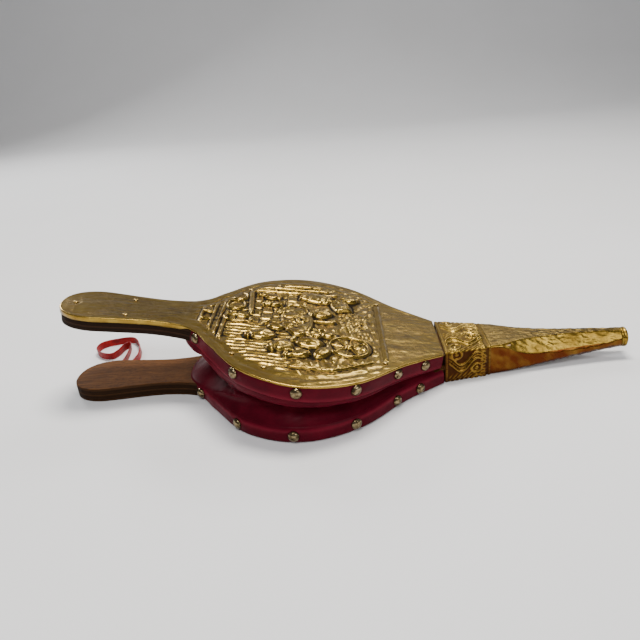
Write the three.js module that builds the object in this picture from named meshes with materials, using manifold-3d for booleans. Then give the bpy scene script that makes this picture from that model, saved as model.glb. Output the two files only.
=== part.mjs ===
// A hand bellows for a hearth: two paddle-shaped boards, a folded leather skin between them,
// a brass-faced lid, a head block that carries a long brass nozzle, and a flap valve inside.
//
// Millimetres. +X runs to the nozzle tip, +Y to the left of someone holding the handles,
// +Z up. z = 0 is the underside of the bottom board, and x = 0 the middle of the length.
import * as THREE from 'three';
import { mergeVertices } from 'three/addons/utils/BufferGeometryUtils.js';
import Module from 'manifold-3d';

const wasm = await Module();
wasm.setup();

// ---------------------------------------------------------------- driving dimensions

const HINGE_X = 81;                 // the hinge line, forward of the middle of the length
const BOARD_LENGTH = 330;           // hinge line to the end of a handle
const BOARD_THICKNESS = 12.7;       // half-inch board
const PLATE_THICKNESS = 0.6;        // brass sheet on the lid
const LID_HEIGHT = 29.3;            // top of the lid at the hinge line
const LID_TILT = THREE.MathUtils.degToRad(10.42);
const GAP = 0.3;                    // left between touching pieces

// A board's outline as its distance behind the hinge line and its half-width there.
const SIDE_POINTS = [
  [-6, 29],                         // tongue, forward of the hinge line
  [0, 33],                          // front corner
  [33, 56],                         // flank
  [76, 93.5],                       // shoulder
  [119, 105.5],                     // belly, the widest place
  [161, 89.5],                      // hip
  [192, 52],                        // slope to the neck
  [209, 30.5],                      // root of the handle
  [239, 23],                        // neck, the narrowest place
  [298, 27.5],                      // grip
];
const HANDLE_ROUND_START = 298;     // the handle's end is a rounded arc from here
const HANDLE_ROUND_POWER = 2.3;

const LID_FRONT = 2.4;              // lid's end stands this far forward of the hinge line
const PLATE_FRONT = 1.2;            // the brass stops short, clear of the sheath as it opens
const BASE_FRONT = 3.6;
const TONGUE_END = 40;              // bottom board's tongue inside the sheath
const SHEATH_START = 3.9;
const SHEATH_WALL = 0.8;
const BLOCK_END = 62;
// Sheath stations forward of the hinge line: place, half-width, top, bottom, roundness.
const SHEATH_STATIONS = [
  [0, 33.5, 29.3, 0, 0], [22, 28.6, 28.8, 0.1, 0], [43, 24, 28.3, 0.3, 0],
  [60, 21.6, 27.9, 1.2, 0.1], [78, 19, 27.4, 2.6, 0.25], [94, 16.8, 27, 3.8, 0.4],
  [110, 14.7, 26.6, 5, 0.55], [128, 12.5, 26.2, 6.2, 0.75], [145, 10.4, 25.8, 7.4, 0.9],
  [162, 8.3, 25.3, 8.7, 1],
];
const COLLAR_END = 168;
const TUBE_OUTER = 5.6;
const TUBE_INNER = 4.4;
const TUBE_START = new THREE.Vector3(44, 0, 14.3);
const TUBE_END = new THREE.Vector3(167.5, 0, 17);

const AIRWAY_HALF_WIDTH = 7;
const AIRWAY_START = -75;
const AIRWAY_FLOOR = 5;
const AIRWAY_ROOF = 18.5;

const HINGE_HEIGHT = 21.5;          // height of the leather hinge where it crosses the gap
const HINGE_LEATHER = 1.3;
const HINGE_HALF_WIDTH = 22;
const HINGE_DEPTH = 16;             // how far the strip is let into each side

const VALVE_X = -130;
const VALVE_RADIUS = 14;
const FLAP_FRONT = -104;
const FLAP_BACK = -156;
const FLAP_HALF_WIDTH = 24;
const FLAP_LEATHER = 1.2;
const STIFFENER_THICKNESS = 1.5;
const TAIL_END = -92;
const STRAP_CLEAR = 2.8;            // room for the flap to lift under the strap
const STRAP_THICKNESS = 0.9;
const STRAP_WIDTH = 9;

const SKIN_THICKNESS = 1.6;
const SKIN_START = 3;               // the skin's front end, behind the hinge line
const SKIN_END = 211;               // its rear end, at the neck
const SKIN_CROSSING = 222;          // where it crosses between the handles
const FOLD_RATIO = 0.71;            // inward depth of the fold for each mm between the boards
const FOLD_WALL = 1.8;

const NAIL_HEAD = 4.75;
const NAIL_DOME = 2.4;
const NAIL_SHANK = 1;
const NAIL_LENGTH = 12;
const UPPER_NAIL_DEPTH = 6.4;       // nail centres below the lid's top face
const LOWER_NAIL_HEIGHT = 6.6;
const UPPER_NAILS = [15, 40, 74.5, 118.5, 166.5, 205];
const LOWER_NAILS = [21, 42, 76, 123, 168, 207];
const NECK_START = 190;             // the edge is hollow from here, so a flat head stands off it
const NECK_NAIL_LIFT = 0.5;
const PLATE_PINS = [[319, 0], [271, 16], [271, -16], [49, 59], [49, -59], [172, 67], [172, -67],
  [145, 84], [145, -84]];
const PIN_HEAD = 2.2;
const PLATE_OVERHANG = 1.9;         // brass over the leather's top edge
const HANDLE_OVERHANG = 0.9;        // brass turned down round the handle
const HANDLE_SKIRT = 4.2;
const SKIRT_START = 222;

const LOOP_WIDTH = 7.5;             // ribbon on edge
const LOOP_THICKNESS = 1.2;
const LOOP_TACK_INSET = 1.9;

// ---------------------------------------------------------------- materials

function material(name, color, roughness, metalness) {
  return new THREE.MeshStandardMaterial({ name, color, roughness, metalness });
}

const brass = () => material('brass', 0xb08a3e, 0.35, 1);
const walnut = () => material('walnut', 0x3d2317, 0.55, 0);
const plainWood = () => material('plain_wood', 0x9a7550, 0.7, 0);
const skinLeather = () => material('skin_leather', 0x6d1f1f, 0.45, 0);
const innerLeather = () => material('inner_leather', 0x8a5a36, 0.8, 0);
const nailMetal = () => material('nail_metal', 0x9c8c6a, 0.35, 1);
const steel = () => material('steel', 0x8d8f92, 0.4, 1);
const ribbon = () => material('ribbon', 0xb3222c, 0.6, 0);

// ---------------------------------------------------------------- solids

function toSolid(geometry) {
  const plain = geometry.clone();
  plain.deleteAttribute('normal');
  plain.deleteAttribute('uv');
  const merged = mergeVertices(plain, 1e-4);
  return new wasm.Manifold(new wasm.Mesh({
    numProp: 3,
    vertProperties: new Float32Array(merged.attributes.position.array),
    triVerts: new Uint32Array(merged.index.array),
  }));
}

function toGeometry(solid) {
  const mesh = solid.getMesh();
  const geometry = new THREE.BufferGeometry();
  geometry.setAttribute('position', new THREE.BufferAttribute(mesh.vertProperties, 3));
  geometry.setIndex(new THREE.BufferAttribute(mesh.triVerts, 1));
  geometry.computeVertexNormals();
  return geometry;
}

function subtractAll(solid, cutters) {
  return cutters.reduce((rest, cutter) => rest.subtract(cutter), solid);
}

// A box between two corners.
function box(low, high) {
  const size = high.map((value, i) => value - low[i]);
  const geometry = new THREE.BoxGeometry(...size);
  return geometry.translate(...low.map((value, i) => value + size[i] / 2));
}

// A flat outline in plan, given as [x, y] points, from one height to another.
function slab(points, bottom, top) {
  const shape = new THREE.Shape(points.map(([x, y]) => new THREE.Vector2(x, y)));
  const geometry = new THREE.ExtrudeGeometry(shape, { depth: top - bottom, bevelEnabled: false });
  return geometry.translate(0, 0, bottom);
}

// A round body turned about the line from one point towards another. The profile lists
// [distance along the line, radius], starting and ending on the line.
function turned(profile, from, direction, segments) {
  const points = profile.map(([along, radius]) => new THREE.Vector2(radius, along));
  const geometry = new THREE.LatheGeometry(points, segments);
  const turn = new THREE.Quaternion().setFromUnitVectors(
    new THREE.Vector3(0, 1, 0), direction.clone().normalize());
  return geometry.applyQuaternion(turn).translate(from.x, from.y, from.z);
}

function rod(from, to, radius, segments) {
  const direction = to.clone().sub(from);
  const length = direction.length();
  return turned([[0, 0], [0, radius], [length, radius], [length, 0]], from, direction, segments);
}

// ---------------------------------------------------------------- the board's outline

function makeSide() {
  const curve = new THREE.CatmullRomCurve3(
    SIDE_POINTS.map(([back, half]) => new THREE.Vector3(back, half, 0)), false, 'centripetal');
  const points = curve.getPoints(5 * (SIDE_POINTS.length - 1)).map((p) => [p.x, p.y]);
  const [, roundWidth] = SIDE_POINTS.at(-1);
  const roundLength = BOARD_LENGTH - HANDLE_ROUND_START;
  const steps = 7;
  for (let i = 1; i <= steps; i += 1) {
    const angle = (i / steps) * Math.PI / 2;
    const along = Math.sin(angle) ** (2 / HANDLE_ROUND_POWER);
    const across = Math.max(Math.cos(angle), 0) ** (2 / HANDLE_ROUND_POWER);
    points.push([HANDLE_ROUND_START + roundLength * along, i === steps ? 0 : roundWidth * across]);
  }
  return points;
}

const SIDE = makeSide();

// The outward direction at one of the side's points, as [x, y].
function outwardAt(i) {
  const [s0, w0] = SIDE[Math.max(i - 1, 0)];
  const [s1, w1] = SIDE[Math.min(i + 1, SIDE.length - 1)];
  const length = Math.hypot(s1 - s0, w1 - w0);
  return [(w1 - w0) / length, (s1 - s0) / length];
}

// Half-width and outward direction of the board's edge at a distance behind the hinge line.
function edgeAt(back) {
  let i = 1;
  while (i < SIDE.length - 1 && SIDE[i][0] < back) {
    i += 1;
  }
  const [s0, w0] = SIDE[i - 1];
  const [s1, w1] = SIDE[i];
  const share = (back - s0) / (s1 - s0);
  const [x0, y0] = outwardAt(i - 1);
  const [x1, y1] = outwardAt(i);
  const out = [x0 + share * (x1 - x0), y0 + share * (y1 - y0)];
  const length = Math.hypot(...out);
  return { half: w0 + share * (w1 - w0), out: out.map((value) => value / length) };
}

// The left edge from one place to another, as [x, y] points moved outwards.
function edgeRun(from, to, offset) {
  const places = [from, ...SIDE.map(([s]) => s).filter((s) => s > from + 1 && s < to - 1), to];
  return places.map((back) => {
    const { half, out } = edgeAt(back);
    const move = typeof offset === 'function' ? offset(back) : offset;
    return [-back + out[0] * move, half + out[1] * move];
  });
}

function mirrored(points) {
  return points.map(([x, y]) => [x, -y]).reverse();
}

// The whole outline, with its front end square across.
function boardOutline(front, offset) {
  const left = edgeRun(-front, BOARD_LENGTH - 0.05, offset);
  left.push([-BOARD_LENGTH - (typeof offset === 'function' ? offset(BOARD_LENGTH) : offset), 0]);
  return [...left.slice(0, -1), left.at(-1), ...mirrored(left.slice(0, -1))];
}

// The strip that lies along one side's edge between two offsets.
function edgeStrip(from, to, inner, outer, side) {
  const strip = [...edgeRun(from, to, outer), ...edgeRun(from, to, inner).reverse()];
  return side > 0 ? strip : mirrored(strip);
}

// ---------------------------------------------------------------- placing

// The lid's own frame has z = 0 on its top face and is turned about the hinge line.
const toLid = new THREE.Matrix4()
  .makeTranslation(HINGE_X, 0, LID_HEIGHT)
  .multiply(new THREE.Matrix4().makeRotationY(LID_TILT));
const toBase = new THREE.Matrix4().makeTranslation(HINGE_X, 0, 0);

const bellows = new THREE.Group();
bellows.name = 'hand_bellows';

function add(name, solidOrGeometry, look, placing = toBase) {
  const geometry = solidOrGeometry.isBufferGeometry
    ? solidOrGeometry
    : toGeometry(solidOrGeometry);
  const mesh = new THREE.Mesh(geometry, look);
  mesh.name = name;
  mesh.applyMatrix4(placing);
  bellows.add(mesh);
}

// ---------------------------------------------------------------- nails and pins

// A domed nail's profile from its point to the top of its head.
function nailProfile(head, dome, shank, length) {
  return [[0, 0], [shank * 3, shank], [length, shank], [length, head],
    [length + dome * 0.35, head], [length + dome * 0.8, head * 0.6], [length + dome, 0]];
}

// One nail and the hole it needs. The head rests on a face at "seat", facing "out".
function nailPieces(seat, out, { head, dome, shank, length, segments = 10 }) {
  const start = seat.clone().addScaledVector(out, GAP - length);
  const nail = turned(nailProfile(head, dome, shank, length), start, out, segments);
  const holeStart = seat.clone().addScaledVector(out, -length - 1);
  const holeEnd = seat.clone().addScaledVector(out, 3);
  return { nail, hole: toSolid(rod(holeStart, holeEnd, shank + GAP, 8)) };
}

function edgeNail(back, height, side) {
  const { half, out } = edgeAt(back);
  const reach = GAP + SKIN_THICKNESS + (back > NECK_START ? NECK_NAIL_LIFT : 0);
  const direction = new THREE.Vector3(out[0], side * out[1], 0);
  const seat = new THREE.Vector3(-back, side * half, height).addScaledVector(direction, reach);
  return nailPieces(seat, direction,
    { head: NAIL_HEAD, dome: NAIL_DOME, shank: NAIL_SHANK, length: NAIL_LENGTH });
}

function edgeNails(places, height) {
  const found = [];
  for (const [side, hand] of [[1, 'left'], [-1, 'right']]) {
    places.forEach((back, i) => {
      found.push({ hand, number: i + 1, ...edgeNail(back, height, side) });
    });
  }
  return found;
}

const tackSize = { head: 3, dome: 1, shank: 0.8, length: 8 };
const down = new THREE.Vector3(0, 0, 1);

// ---------------------------------------------------------------- nozzle

function sheathAt(x) {
  let i = 1;
  while (i < SHEATH_STATIONS.length - 1 && SHEATH_STATIONS[i][0] < x) {
    i += 1;
  }
  const a = SHEATH_STATIONS[i - 1];
  const b = SHEATH_STATIONS[i];
  const share = Math.min(Math.max((x - a[0]) / (b[0] - a[0]), 0), 1);
  return a.map((value, k) => value + share * (b[k] - value)).slice(1);
}

// A closed body that follows the sheath's outside, set in by "inset", between two places.
function sheathBody(from, to, inset) {
  const sides = 24;
  const inner = SHEATH_STATIONS.map(([x]) => x).filter((x) => x > from + 1 && x < to - 1);
  const places = [from, ...inner, to];
  const geometry = new THREE.CylinderGeometry(1, 1, 1, sides, places.length - 1);
  const position = geometry.attributes.position;
  for (let i = 0; i < position.count; i += 1) {
    const x = places[Math.round((0.5 - position.getY(i)) * (places.length - 1))];
    const across = position.getX(i);
    const up = position.getZ(i);
    const [half, top, bottom, round] = sheathAt(x);
    const largest = Math.max(Math.abs(across), Math.abs(up), 1e-9);
    const square = Math.hypot(across, up) / largest;
    const scale = round + (1 - round) * square;
    const middle = (top + bottom) / 2;
    position.setXYZ(i, x, across * scale * (half - inset),
      middle + up * scale * ((top - bottom) / 2 - inset));
  }
  return toSolid(geometry);
}

function sheath() {
  return sheathBody(SHEATH_START, SHEATH_STATIONS.at(-1)[0], 0)
    .subtract(sheathBody(SHEATH_START - 2, SHEATH_STATIONS.at(-1)[0] + 2, SHEATH_WALL));
}

function ring(from, to, outer, inner, segments) {
  const direction = to.clone().sub(from).normalize();
  const before = from.clone().addScaledVector(direction, -1);
  const after = to.clone().addScaledVector(direction, 1);
  return toSolid(rod(from, to, outer, segments))
    .subtract(toSolid(rod(before, after, inner, segments)));
}

function collar() {
  const [, top, bottom] = sheathAt(SHEATH_STATIONS.at(-1)[0]);
  const height = (top + bottom) / 2;
  const start = new THREE.Vector3(SHEATH_STATIONS.at(-1)[0] + GAP, 0, height);
  const end = new THREE.Vector3(COLLAR_END, 0, height);
  return ring(start, end, (top - bottom) / 2, TUBE_OUTER + GAP, 20);
}

function airway(from, to, floor, roof) {
  return toSolid(box([from, -AIRWAY_HALF_WIDTH, floor], [to, AIRWAY_HALF_WIDTH, roof]));
}

function headBlock() {
  const block = sheathBody(SHEATH_START + 1, BLOCK_END, SHEATH_WALL + GAP);
  const tubeLine = TUBE_END.clone().sub(TUBE_START).normalize();
  const boreStart = TUBE_START.clone().addScaledVector(tubeLine, -5);
  const tongueRoom = box([0, -40, -1], [TONGUE_END + GAP, 40, BOARD_THICKNESS + GAP]);
  const kerf = box([0, -HINGE_HALF_WIDTH - GAP, HINGE_HEIGHT - HINGE_LEATHER / 2 - GAP],
    [SHEATH_START + HINGE_DEPTH, HINGE_HALF_WIDTH + GAP, HINGE_HEIGHT + HINGE_LEATHER / 2 + GAP]);
  return subtractAll(block, [
    toSolid(tongueRoom),
    toSolid(kerf),
    airway(0, TONGUE_END + 1, BOARD_THICKNESS - 1, AIRWAY_ROOF),
    toSolid(rod(boreStart, TUBE_END, TUBE_OUTER + GAP, 16)),
  ]);
}

add('head_block', headBlock(), plainWood());
add('nozzle_sheath', sheath(), brass());
add('nozzle_tube', ring(TUBE_START, TUBE_END, TUBE_OUTER, TUBE_INNER, 16), steel());
add('nozzle_collar', collar(), brass());

// ---------------------------------------------------------------- valve

const flapSeat = BOARD_THICKNESS + GAP;
const flapTop = flapSeat + FLAP_LEATHER;
const stiffenerTop = flapTop + GAP + STIFFENER_THICKNESS;

function tailTacks() {
  return [1, -1].map((side) => nailPieces(
    new THREE.Vector3((TAIL_END + FLAP_FRONT) / 2, side * 15, flapTop), down, tackSize));
}

function strapTacks() {
  return [1, -1].map((side) => nailPieces(
    new THREE.Vector3(VALVE_X, side * (FLAP_HALF_WIDTH + 9), flapSeat + STRAP_THICKNESS),
    down, tackSize));
}

// The strap is bent up over the flap and tacked down at both ends.
function strap() {
  const leg = FLAP_HALF_WIDTH + 3;
  const foot = FLAP_HALF_WIDTH + 14;
  const under = stiffenerTop + STRAP_CLEAR;
  const half = [[foot, flapSeat], [foot, flapSeat + STRAP_THICKNESS],
    [leg + STRAP_THICKNESS, flapSeat + STRAP_THICKNESS], [leg - 3, under + STRAP_THICKNESS]];
  const inner = [[leg - 3.4, under], [leg, flapSeat]];
  const outline = [...half, ...half.map(([y, z]) => [-y, z]).reverse(),
    ...inner.map(([y, z]) => [-y, z]).reverse(), ...inner];
  const bent = slab(outline, -STRAP_WIDTH / 2, STRAP_WIDTH / 2);
  const standing = new THREE.Matrix4().makeBasis(
    new THREE.Vector3(0, 1, 0), new THREE.Vector3(0, 0, 1), new THREE.Vector3(1, 0, 0));
  return toSolid(bent.applyMatrix4(standing).translate(VALVE_X, 0, 0));
}

const tailTackPieces = tailTacks();
const strapTackPieces = strapTacks();
const tail = box([FLAP_FRONT + 2 * GAP, -FLAP_HALF_WIDTH, flapSeat],
  [TAIL_END, FLAP_HALF_WIDTH, flapTop]);
add('valve_tail', subtractAll(toSolid(tail), tailTackPieces.map((p) => p.hole)), innerLeather());
add('valve_strap', subtractAll(strap(), strapTackPieces.map((p) => p.hole)), innerLeather());
tailTackPieces.forEach((p, i) => add(`valve_tail_tack_${i + 1}`, p.nail, steel()));
strapTackPieces.forEach((p, i) => add(`valve_strap_tack_${i + 1}`, p.nail, steel()));
add('valve_flap', box([FLAP_BACK, -FLAP_HALF_WIDTH, flapSeat],
  [FLAP_FRONT, FLAP_HALF_WIDTH, flapTop]), innerLeather());
add('valve_stiffener', box([FLAP_BACK + 2, 3 - FLAP_HALF_WIDTH, flapTop + GAP],
  [FLAP_FRONT - 6, FLAP_HALF_WIDTH - 3, stiffenerTop]), plainWood());

// ---------------------------------------------------------------- hanging loop

// The ribbon leaves the left side of the lower handle, lies on edge and comes back to it.
const LOOP_PATH = [
  [-283, 28], [-287, 28.1], [-289.8, 31.5], [-288.5, 50], [-294, 72], [-305, 88], [-321, 87],
  [-336, 80], [-337, 67], [-327, 56], [-317.5, 53.5], [-313, 60], [-309.5, 74],
  [-305.5, 77], [-303, 70], [-301, 55], [-300.5, 40], [-301.2, 31.5], [-304, 28.1], [-308, 28],
];

function hangingLoop() {
  const curve = new THREE.CatmullRomCurve3(
    LOOP_PATH.map(([x, y]) => new THREE.Vector3(x, y, LOOP_WIDTH / 2 + GAP)), false, 'centripetal');
  const section = new THREE.Shape([
    new THREE.Vector2(-LOOP_WIDTH / 2, -LOOP_THICKNESS / 2),
    new THREE.Vector2(LOOP_WIDTH / 2, -LOOP_THICKNESS / 2),
    new THREE.Vector2(LOOP_WIDTH / 2, LOOP_THICKNESS / 2),
    new THREE.Vector2(-LOOP_WIDTH / 2, LOOP_THICKNESS / 2),
  ]);
  return new THREE.ExtrudeGeometry(section, { steps: 76, extrudePath: curve, bevelEnabled: false });
}

function loopTacks() {
  return [LOOP_PATH[0], LOOP_PATH.at(-1)].map(([x, y], i) => nailPieces(
    new THREE.Vector3(x + (i === 0 ? -1 : 1) * LOOP_TACK_INSET, y + LOOP_THICKNESS / 2,
      LOOP_WIDTH / 2 + GAP),
    new THREE.Vector3(0, 1, 0), { head: 1.8, dome: 0.8, shank: 0.6, length: 7 }));
}

const loopTackPieces = loopTacks();
add('hanging_loop', subtractAll(toSolid(hangingLoop()), loopTackPieces.map((p) => p.hole)),
  ribbon());
loopTackPieces.forEach((p, i) => add(`loop_tack_${i + 1}`, p.nail, steel()));

// ---------------------------------------------------------------- base board and its skin

const lowerNails = edgeNails(LOWER_NAILS, LOWER_NAIL_HEIGHT);

function bottomBoard(holes) {
  const board = toSolid(slab(boardOutline(BASE_FRONT, 0), 0, BOARD_THICKNESS));
  const tongueBody = sheathBody(1, TONGUE_END, SHEATH_WALL + GAP);
  const aboveBoard = toSolid(box([0, -40, BOARD_THICKNESS], [TONGUE_END + 1, 40, 40]));
  const valveHole = rod(new THREE.Vector3(VALVE_X, 0, -1),
    new THREE.Vector3(VALVE_X, 0, BOARD_THICKNESS + 1), VALVE_RADIUS, 24);
  return subtractAll(board.add(tongueBody.subtract(aboveBoard)), [
    airway(AIRWAY_START, TONGUE_END + 1, AIRWAY_FLOOR, BOARD_THICKNESS + 1),
    toSolid(valveHole),
    ...holes,
  ]);
}

const baseHoles = [...lowerNails, ...tailTackPieces, ...strapTackPieces, ...loopTackPieces];
add('bottom_board', bottomBoard(baseHoles.map((p) => p.hole)), walnut());

function skinBand(side, bottom, top, holes) {
  const strip = edgeStrip(SKIN_START, SKIN_END, GAP, GAP + SKIN_THICKNESS, side);
  return subtractAll(toSolid(slab(strip, bottom, top)), holes);
}

// Each band is the leather nailed to one edge of a board.
function addSkinBands(level, bottom, top, nails, placing) {
  for (const [side, hand] of [[1, 'left'], [-1, 'right']]) {
    const holes = nails.filter((n) => n.hand === hand).map((n) => n.hole);
    add(`skin_band_${level}_${hand}`, skinBand(side, bottom, top, holes), skinLeather(), placing);
  }
}

function addNails(level, nails, placing) {
  for (const { hand, number, nail } of nails) {
    add(`nail_${level}_${hand}_${number}`, nail, nailMetal(), placing);
  }
}

addSkinBands('lower', 0.9, BOARD_THICKNESS - GAP, lowerNails, toBase);
addNails('lower', lowerNails, toBase);

// ---------------------------------------------------------------- lid

const lidUnderside = -(PLATE_THICKNESS + GAP + BOARD_THICKNESS);
const boardTop = -(PLATE_THICKNESS + GAP);
const upperNails = edgeNails(UPPER_NAILS, -UPPER_NAIL_DEPTH);
const pinPieces = PLATE_PINS.map(([back, y]) => nailPieces(
  new THREE.Vector3(-back, y, 0), down,
  { head: PIN_HEAD, dome: 1.2, shank: 0.8, length: 9, segments: 8 }));

// Depth of the hinge strip below the lid's top face, where the strip crosses the gap.
const kerfDepth = (LID_HEIGHT - LID_FRONT * Math.sin(LID_TILT) - HINGE_HEIGHT)
  / Math.cos(LID_TILT);

function topBoard() {
  const half = HINGE_LEATHER / 2 + GAP;
  const kerf = box([-HINGE_DEPTH, -HINGE_HALF_WIDTH - GAP, -kerfDepth - half],
    [LID_FRONT + 1, HINGE_HALF_WIDTH + GAP, half - kerfDepth]);
  const holes = [...upperNails, ...pinPieces].map((p) => p.hole);
  return subtractAll(toSolid(slab(boardOutline(LID_FRONT, 0), lidUnderside, boardTop)),
    [toSolid(kerf), ...holes]);
}

// The plate reaches over the leather along the body, and closer in round the handle.
function plateOffset(back) {
  const share = THREE.MathUtils.smoothstep(back, SKIN_END - 4, SKIRT_START - 2);
  return PLATE_OVERHANG + share * (HANDLE_OVERHANG - PLATE_OVERHANG);
}

function topPlate() {
  const sheet = slab(boardOutline(PLATE_FRONT, plateOffset), -PLATE_THICKNESS, 0);
  const outer = edgeRun(SKIRT_START, BOARD_LENGTH - 0.05, HANDLE_OVERHANG);
  const inner = edgeRun(SKIRT_START, BOARD_LENGTH - 0.05, GAP);
  const end = [-BOARD_LENGTH, 0];
  const skirt = [...outer, [end[0] - HANDLE_OVERHANG, 0], ...mirrored(outer),
    ...mirrored(inner).reverse(), [end[0] - GAP, 0], ...inner.reverse()];
  const turnedDown = slab(skirt, -HANDLE_SKIRT, -PLATE_THICKNESS / 2);
  return subtractAll(toSolid(sheet).add(toSolid(turnedDown)), pinPieces.map((p) => p.hole));
}

add('top_board', topBoard(), walnut(), toLid);
add('top_plate', topPlate(), brass(), toLid);
pinPieces.forEach((p, i) => add(`plate_pin_${i + 1}`, p.nail, brass(), toLid));
addSkinBands('upper', lidUnderside + GAP, boardTop - GAP, upperNails, toLid);
addNails('upper', upperNails, toLid);

// ---------------------------------------------------------------- hinge strip

function hingeLeather() {
  const half = HINGE_LEATHER / 2;
  const bend = LID_FRONT - kerfDepth * Math.sin(LID_TILT) + HINGE_LEATHER / 2;
  const front = box([bend, -HINGE_HALF_WIDTH, HINGE_HEIGHT - half],
    [SHEATH_START + HINGE_DEPTH - GAP, HINGE_HALF_WIDTH, HINGE_HEIGHT + half]);
  const back = box([GAP - HINGE_DEPTH, -HINGE_HALF_WIDTH, -kerfDepth - half],
    [LID_FRONT + HINGE_LEATHER, HINGE_HALF_WIDTH, half - kerfDepth]);
  back.applyMatrix4(new THREE.Matrix4().makeTranslation(-HINGE_X, 0, 0).multiply(toLid));
  return toSolid(front).add(toSolid(back));
}

add('hinge_leather', hingeLeather(), innerLeather());

// ---------------------------------------------------------------- folded skin

// Plan of the skin's line between the boards: back along the left, across the neck between
// the handles, and forward along the right. Each place is [back, y, inward x, inward y].
function foldPlaces() {
  const inset = 0.8;
  const start = 8;
  const left = edgeRun(start, SKIN_END - 5, -inset).map(([x, y]) => [-x, y]);
  const [cornerBack, cornerY] = left.at(-1);
  const round = new THREE.QuadraticBezierCurve(
    new THREE.Vector2(cornerBack, cornerY),
    new THREE.Vector2(SKIN_CROSSING, cornerY - 11),
    new THREE.Vector2(SKIN_CROSSING, 8));
  const half = [...left, ...round.getPoints(6).slice(1).map((p) => [p.x, p.y])];
  return [...half, ...half.map(([back, y]) => [back, -y]).reverse()];
}

function inwardAt(places, i) {
  const [s0, y0] = places[Math.max(i - 1, 0)];
  const [s1, y1] = places[Math.min(i + 1, places.length - 1)];
  const length = Math.hypot(s1 - s0, y1 - y0);
  return [(y1 - y0) / length, -(s1 - s0) / length];
}

function onLid(back, y, depth) {
  const point = new THREE.Vector3(-back, y, -depth).applyMatrix4(toLid);
  return point.setX(point.x - HINGE_X);
}

function skinFold() {
  const places = foldPlaces();
  const geometry = new THREE.BoxGeometry(1, 1, 1, places.length - 1, 2, 1);
  const position = geometry.attributes.position;
  for (let i = 0; i < position.count; i += 1) {
    const index = Math.round((position.getX(i) + 0.5) * (places.length - 1));
    const row = Math.round((position.getY(i) + 0.5) * 2);
    const inner = position.getZ(i) < 0;
    const [back, y] = places[index];
    const [inX, inY] = inwardAt(places, index);
    const low = new THREE.Vector3(-back, y, BOARD_THICKNESS + GAP);
    const high = onLid(back, y, 2 * GAP + 0.1 - lidUnderside);
    const gap = high.z - low.z;
    const point = [low, low.clone().add(high).multiplyScalar(0.5), high][row];
    const move = (row === 1 ? FOLD_RATIO * gap : 0) + (inner ? FOLD_WALL : 0);
    position.setXYZ(i, point.x - inX * move, point.y + inY * move, point.z);
  }
  return toSolid(geometry);
}

add('skin_fold', skinFold(), skinLeather());

export default bellows;
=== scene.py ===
"""Looks for the hand bellows: embossed brass, hammered sheath, nailed leather, ply boards, ribbon."""
import math

import bmesh
import bpy
import numpy as np
from mathutils import Matrix, Vector


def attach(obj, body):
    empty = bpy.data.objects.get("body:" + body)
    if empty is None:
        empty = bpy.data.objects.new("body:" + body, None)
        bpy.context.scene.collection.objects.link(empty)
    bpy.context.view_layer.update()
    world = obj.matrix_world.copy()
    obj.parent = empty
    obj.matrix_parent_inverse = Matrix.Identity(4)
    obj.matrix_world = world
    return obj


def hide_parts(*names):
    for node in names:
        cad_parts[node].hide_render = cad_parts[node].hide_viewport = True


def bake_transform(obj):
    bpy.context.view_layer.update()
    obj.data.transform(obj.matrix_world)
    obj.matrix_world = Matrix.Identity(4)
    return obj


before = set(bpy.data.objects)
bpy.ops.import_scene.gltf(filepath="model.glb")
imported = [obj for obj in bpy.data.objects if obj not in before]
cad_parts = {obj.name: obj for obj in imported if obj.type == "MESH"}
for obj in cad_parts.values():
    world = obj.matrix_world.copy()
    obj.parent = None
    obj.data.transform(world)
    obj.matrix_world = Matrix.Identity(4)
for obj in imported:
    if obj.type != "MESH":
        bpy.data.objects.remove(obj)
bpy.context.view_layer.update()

MM = 0.001

# ---- driving sizes, in millimetres

HINGE_X = 81.0            # hinge line in the row frame
BOARD_LENGTH = 330.0
BOARD_THICKNESS = 12.7
LID_HEIGHT = 29.3
LID_TILT = math.radians(10.42)
LID_UNDERSIDE = -13.6
LID_FRONT = 2.4
PLATE_FRONT = 2.4
BASE_FRONT = 3.6
ROUND_START = 298.0
ROUND_POWER = 2.3
# A board's outline as its distance behind the hinge line and its half-width there.
SIDE_POINTS = [
    (-6, 29),             # tongue, forward of the hinge line
    (0, 33),              # front corner
    (33, 56),             # flank
    (76, 93.5),           # shoulder
    (119, 105.5),         # belly, the widest place
    (161, 89.5),          # hip
    (192, 52),            # slope to the neck
    (209, 30.5),          # root of the handle
    (239, 23),            # neck, the narrowest place
    (298, 27.5),          # grip
]
SHEATH_STATIONS = np.array([      # forward of the hinge: place, half-width, top, bottom
    [0, 33.5, 29.3, 0], [22, 28.6, 28.8, 0.1], [43, 24, 28.3, 0.3], [60, 21.6, 27.9, 1.2],
    [78, 19, 27.4, 2.6], [94, 16.8, 27, 3.8], [110, 14.7, 26.6, 5], [128, 12.5, 26.2, 6.2],
    [145, 10.4, 25.8, 7.4], [162, 8.3, 25.3, 8.7],
])
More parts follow.
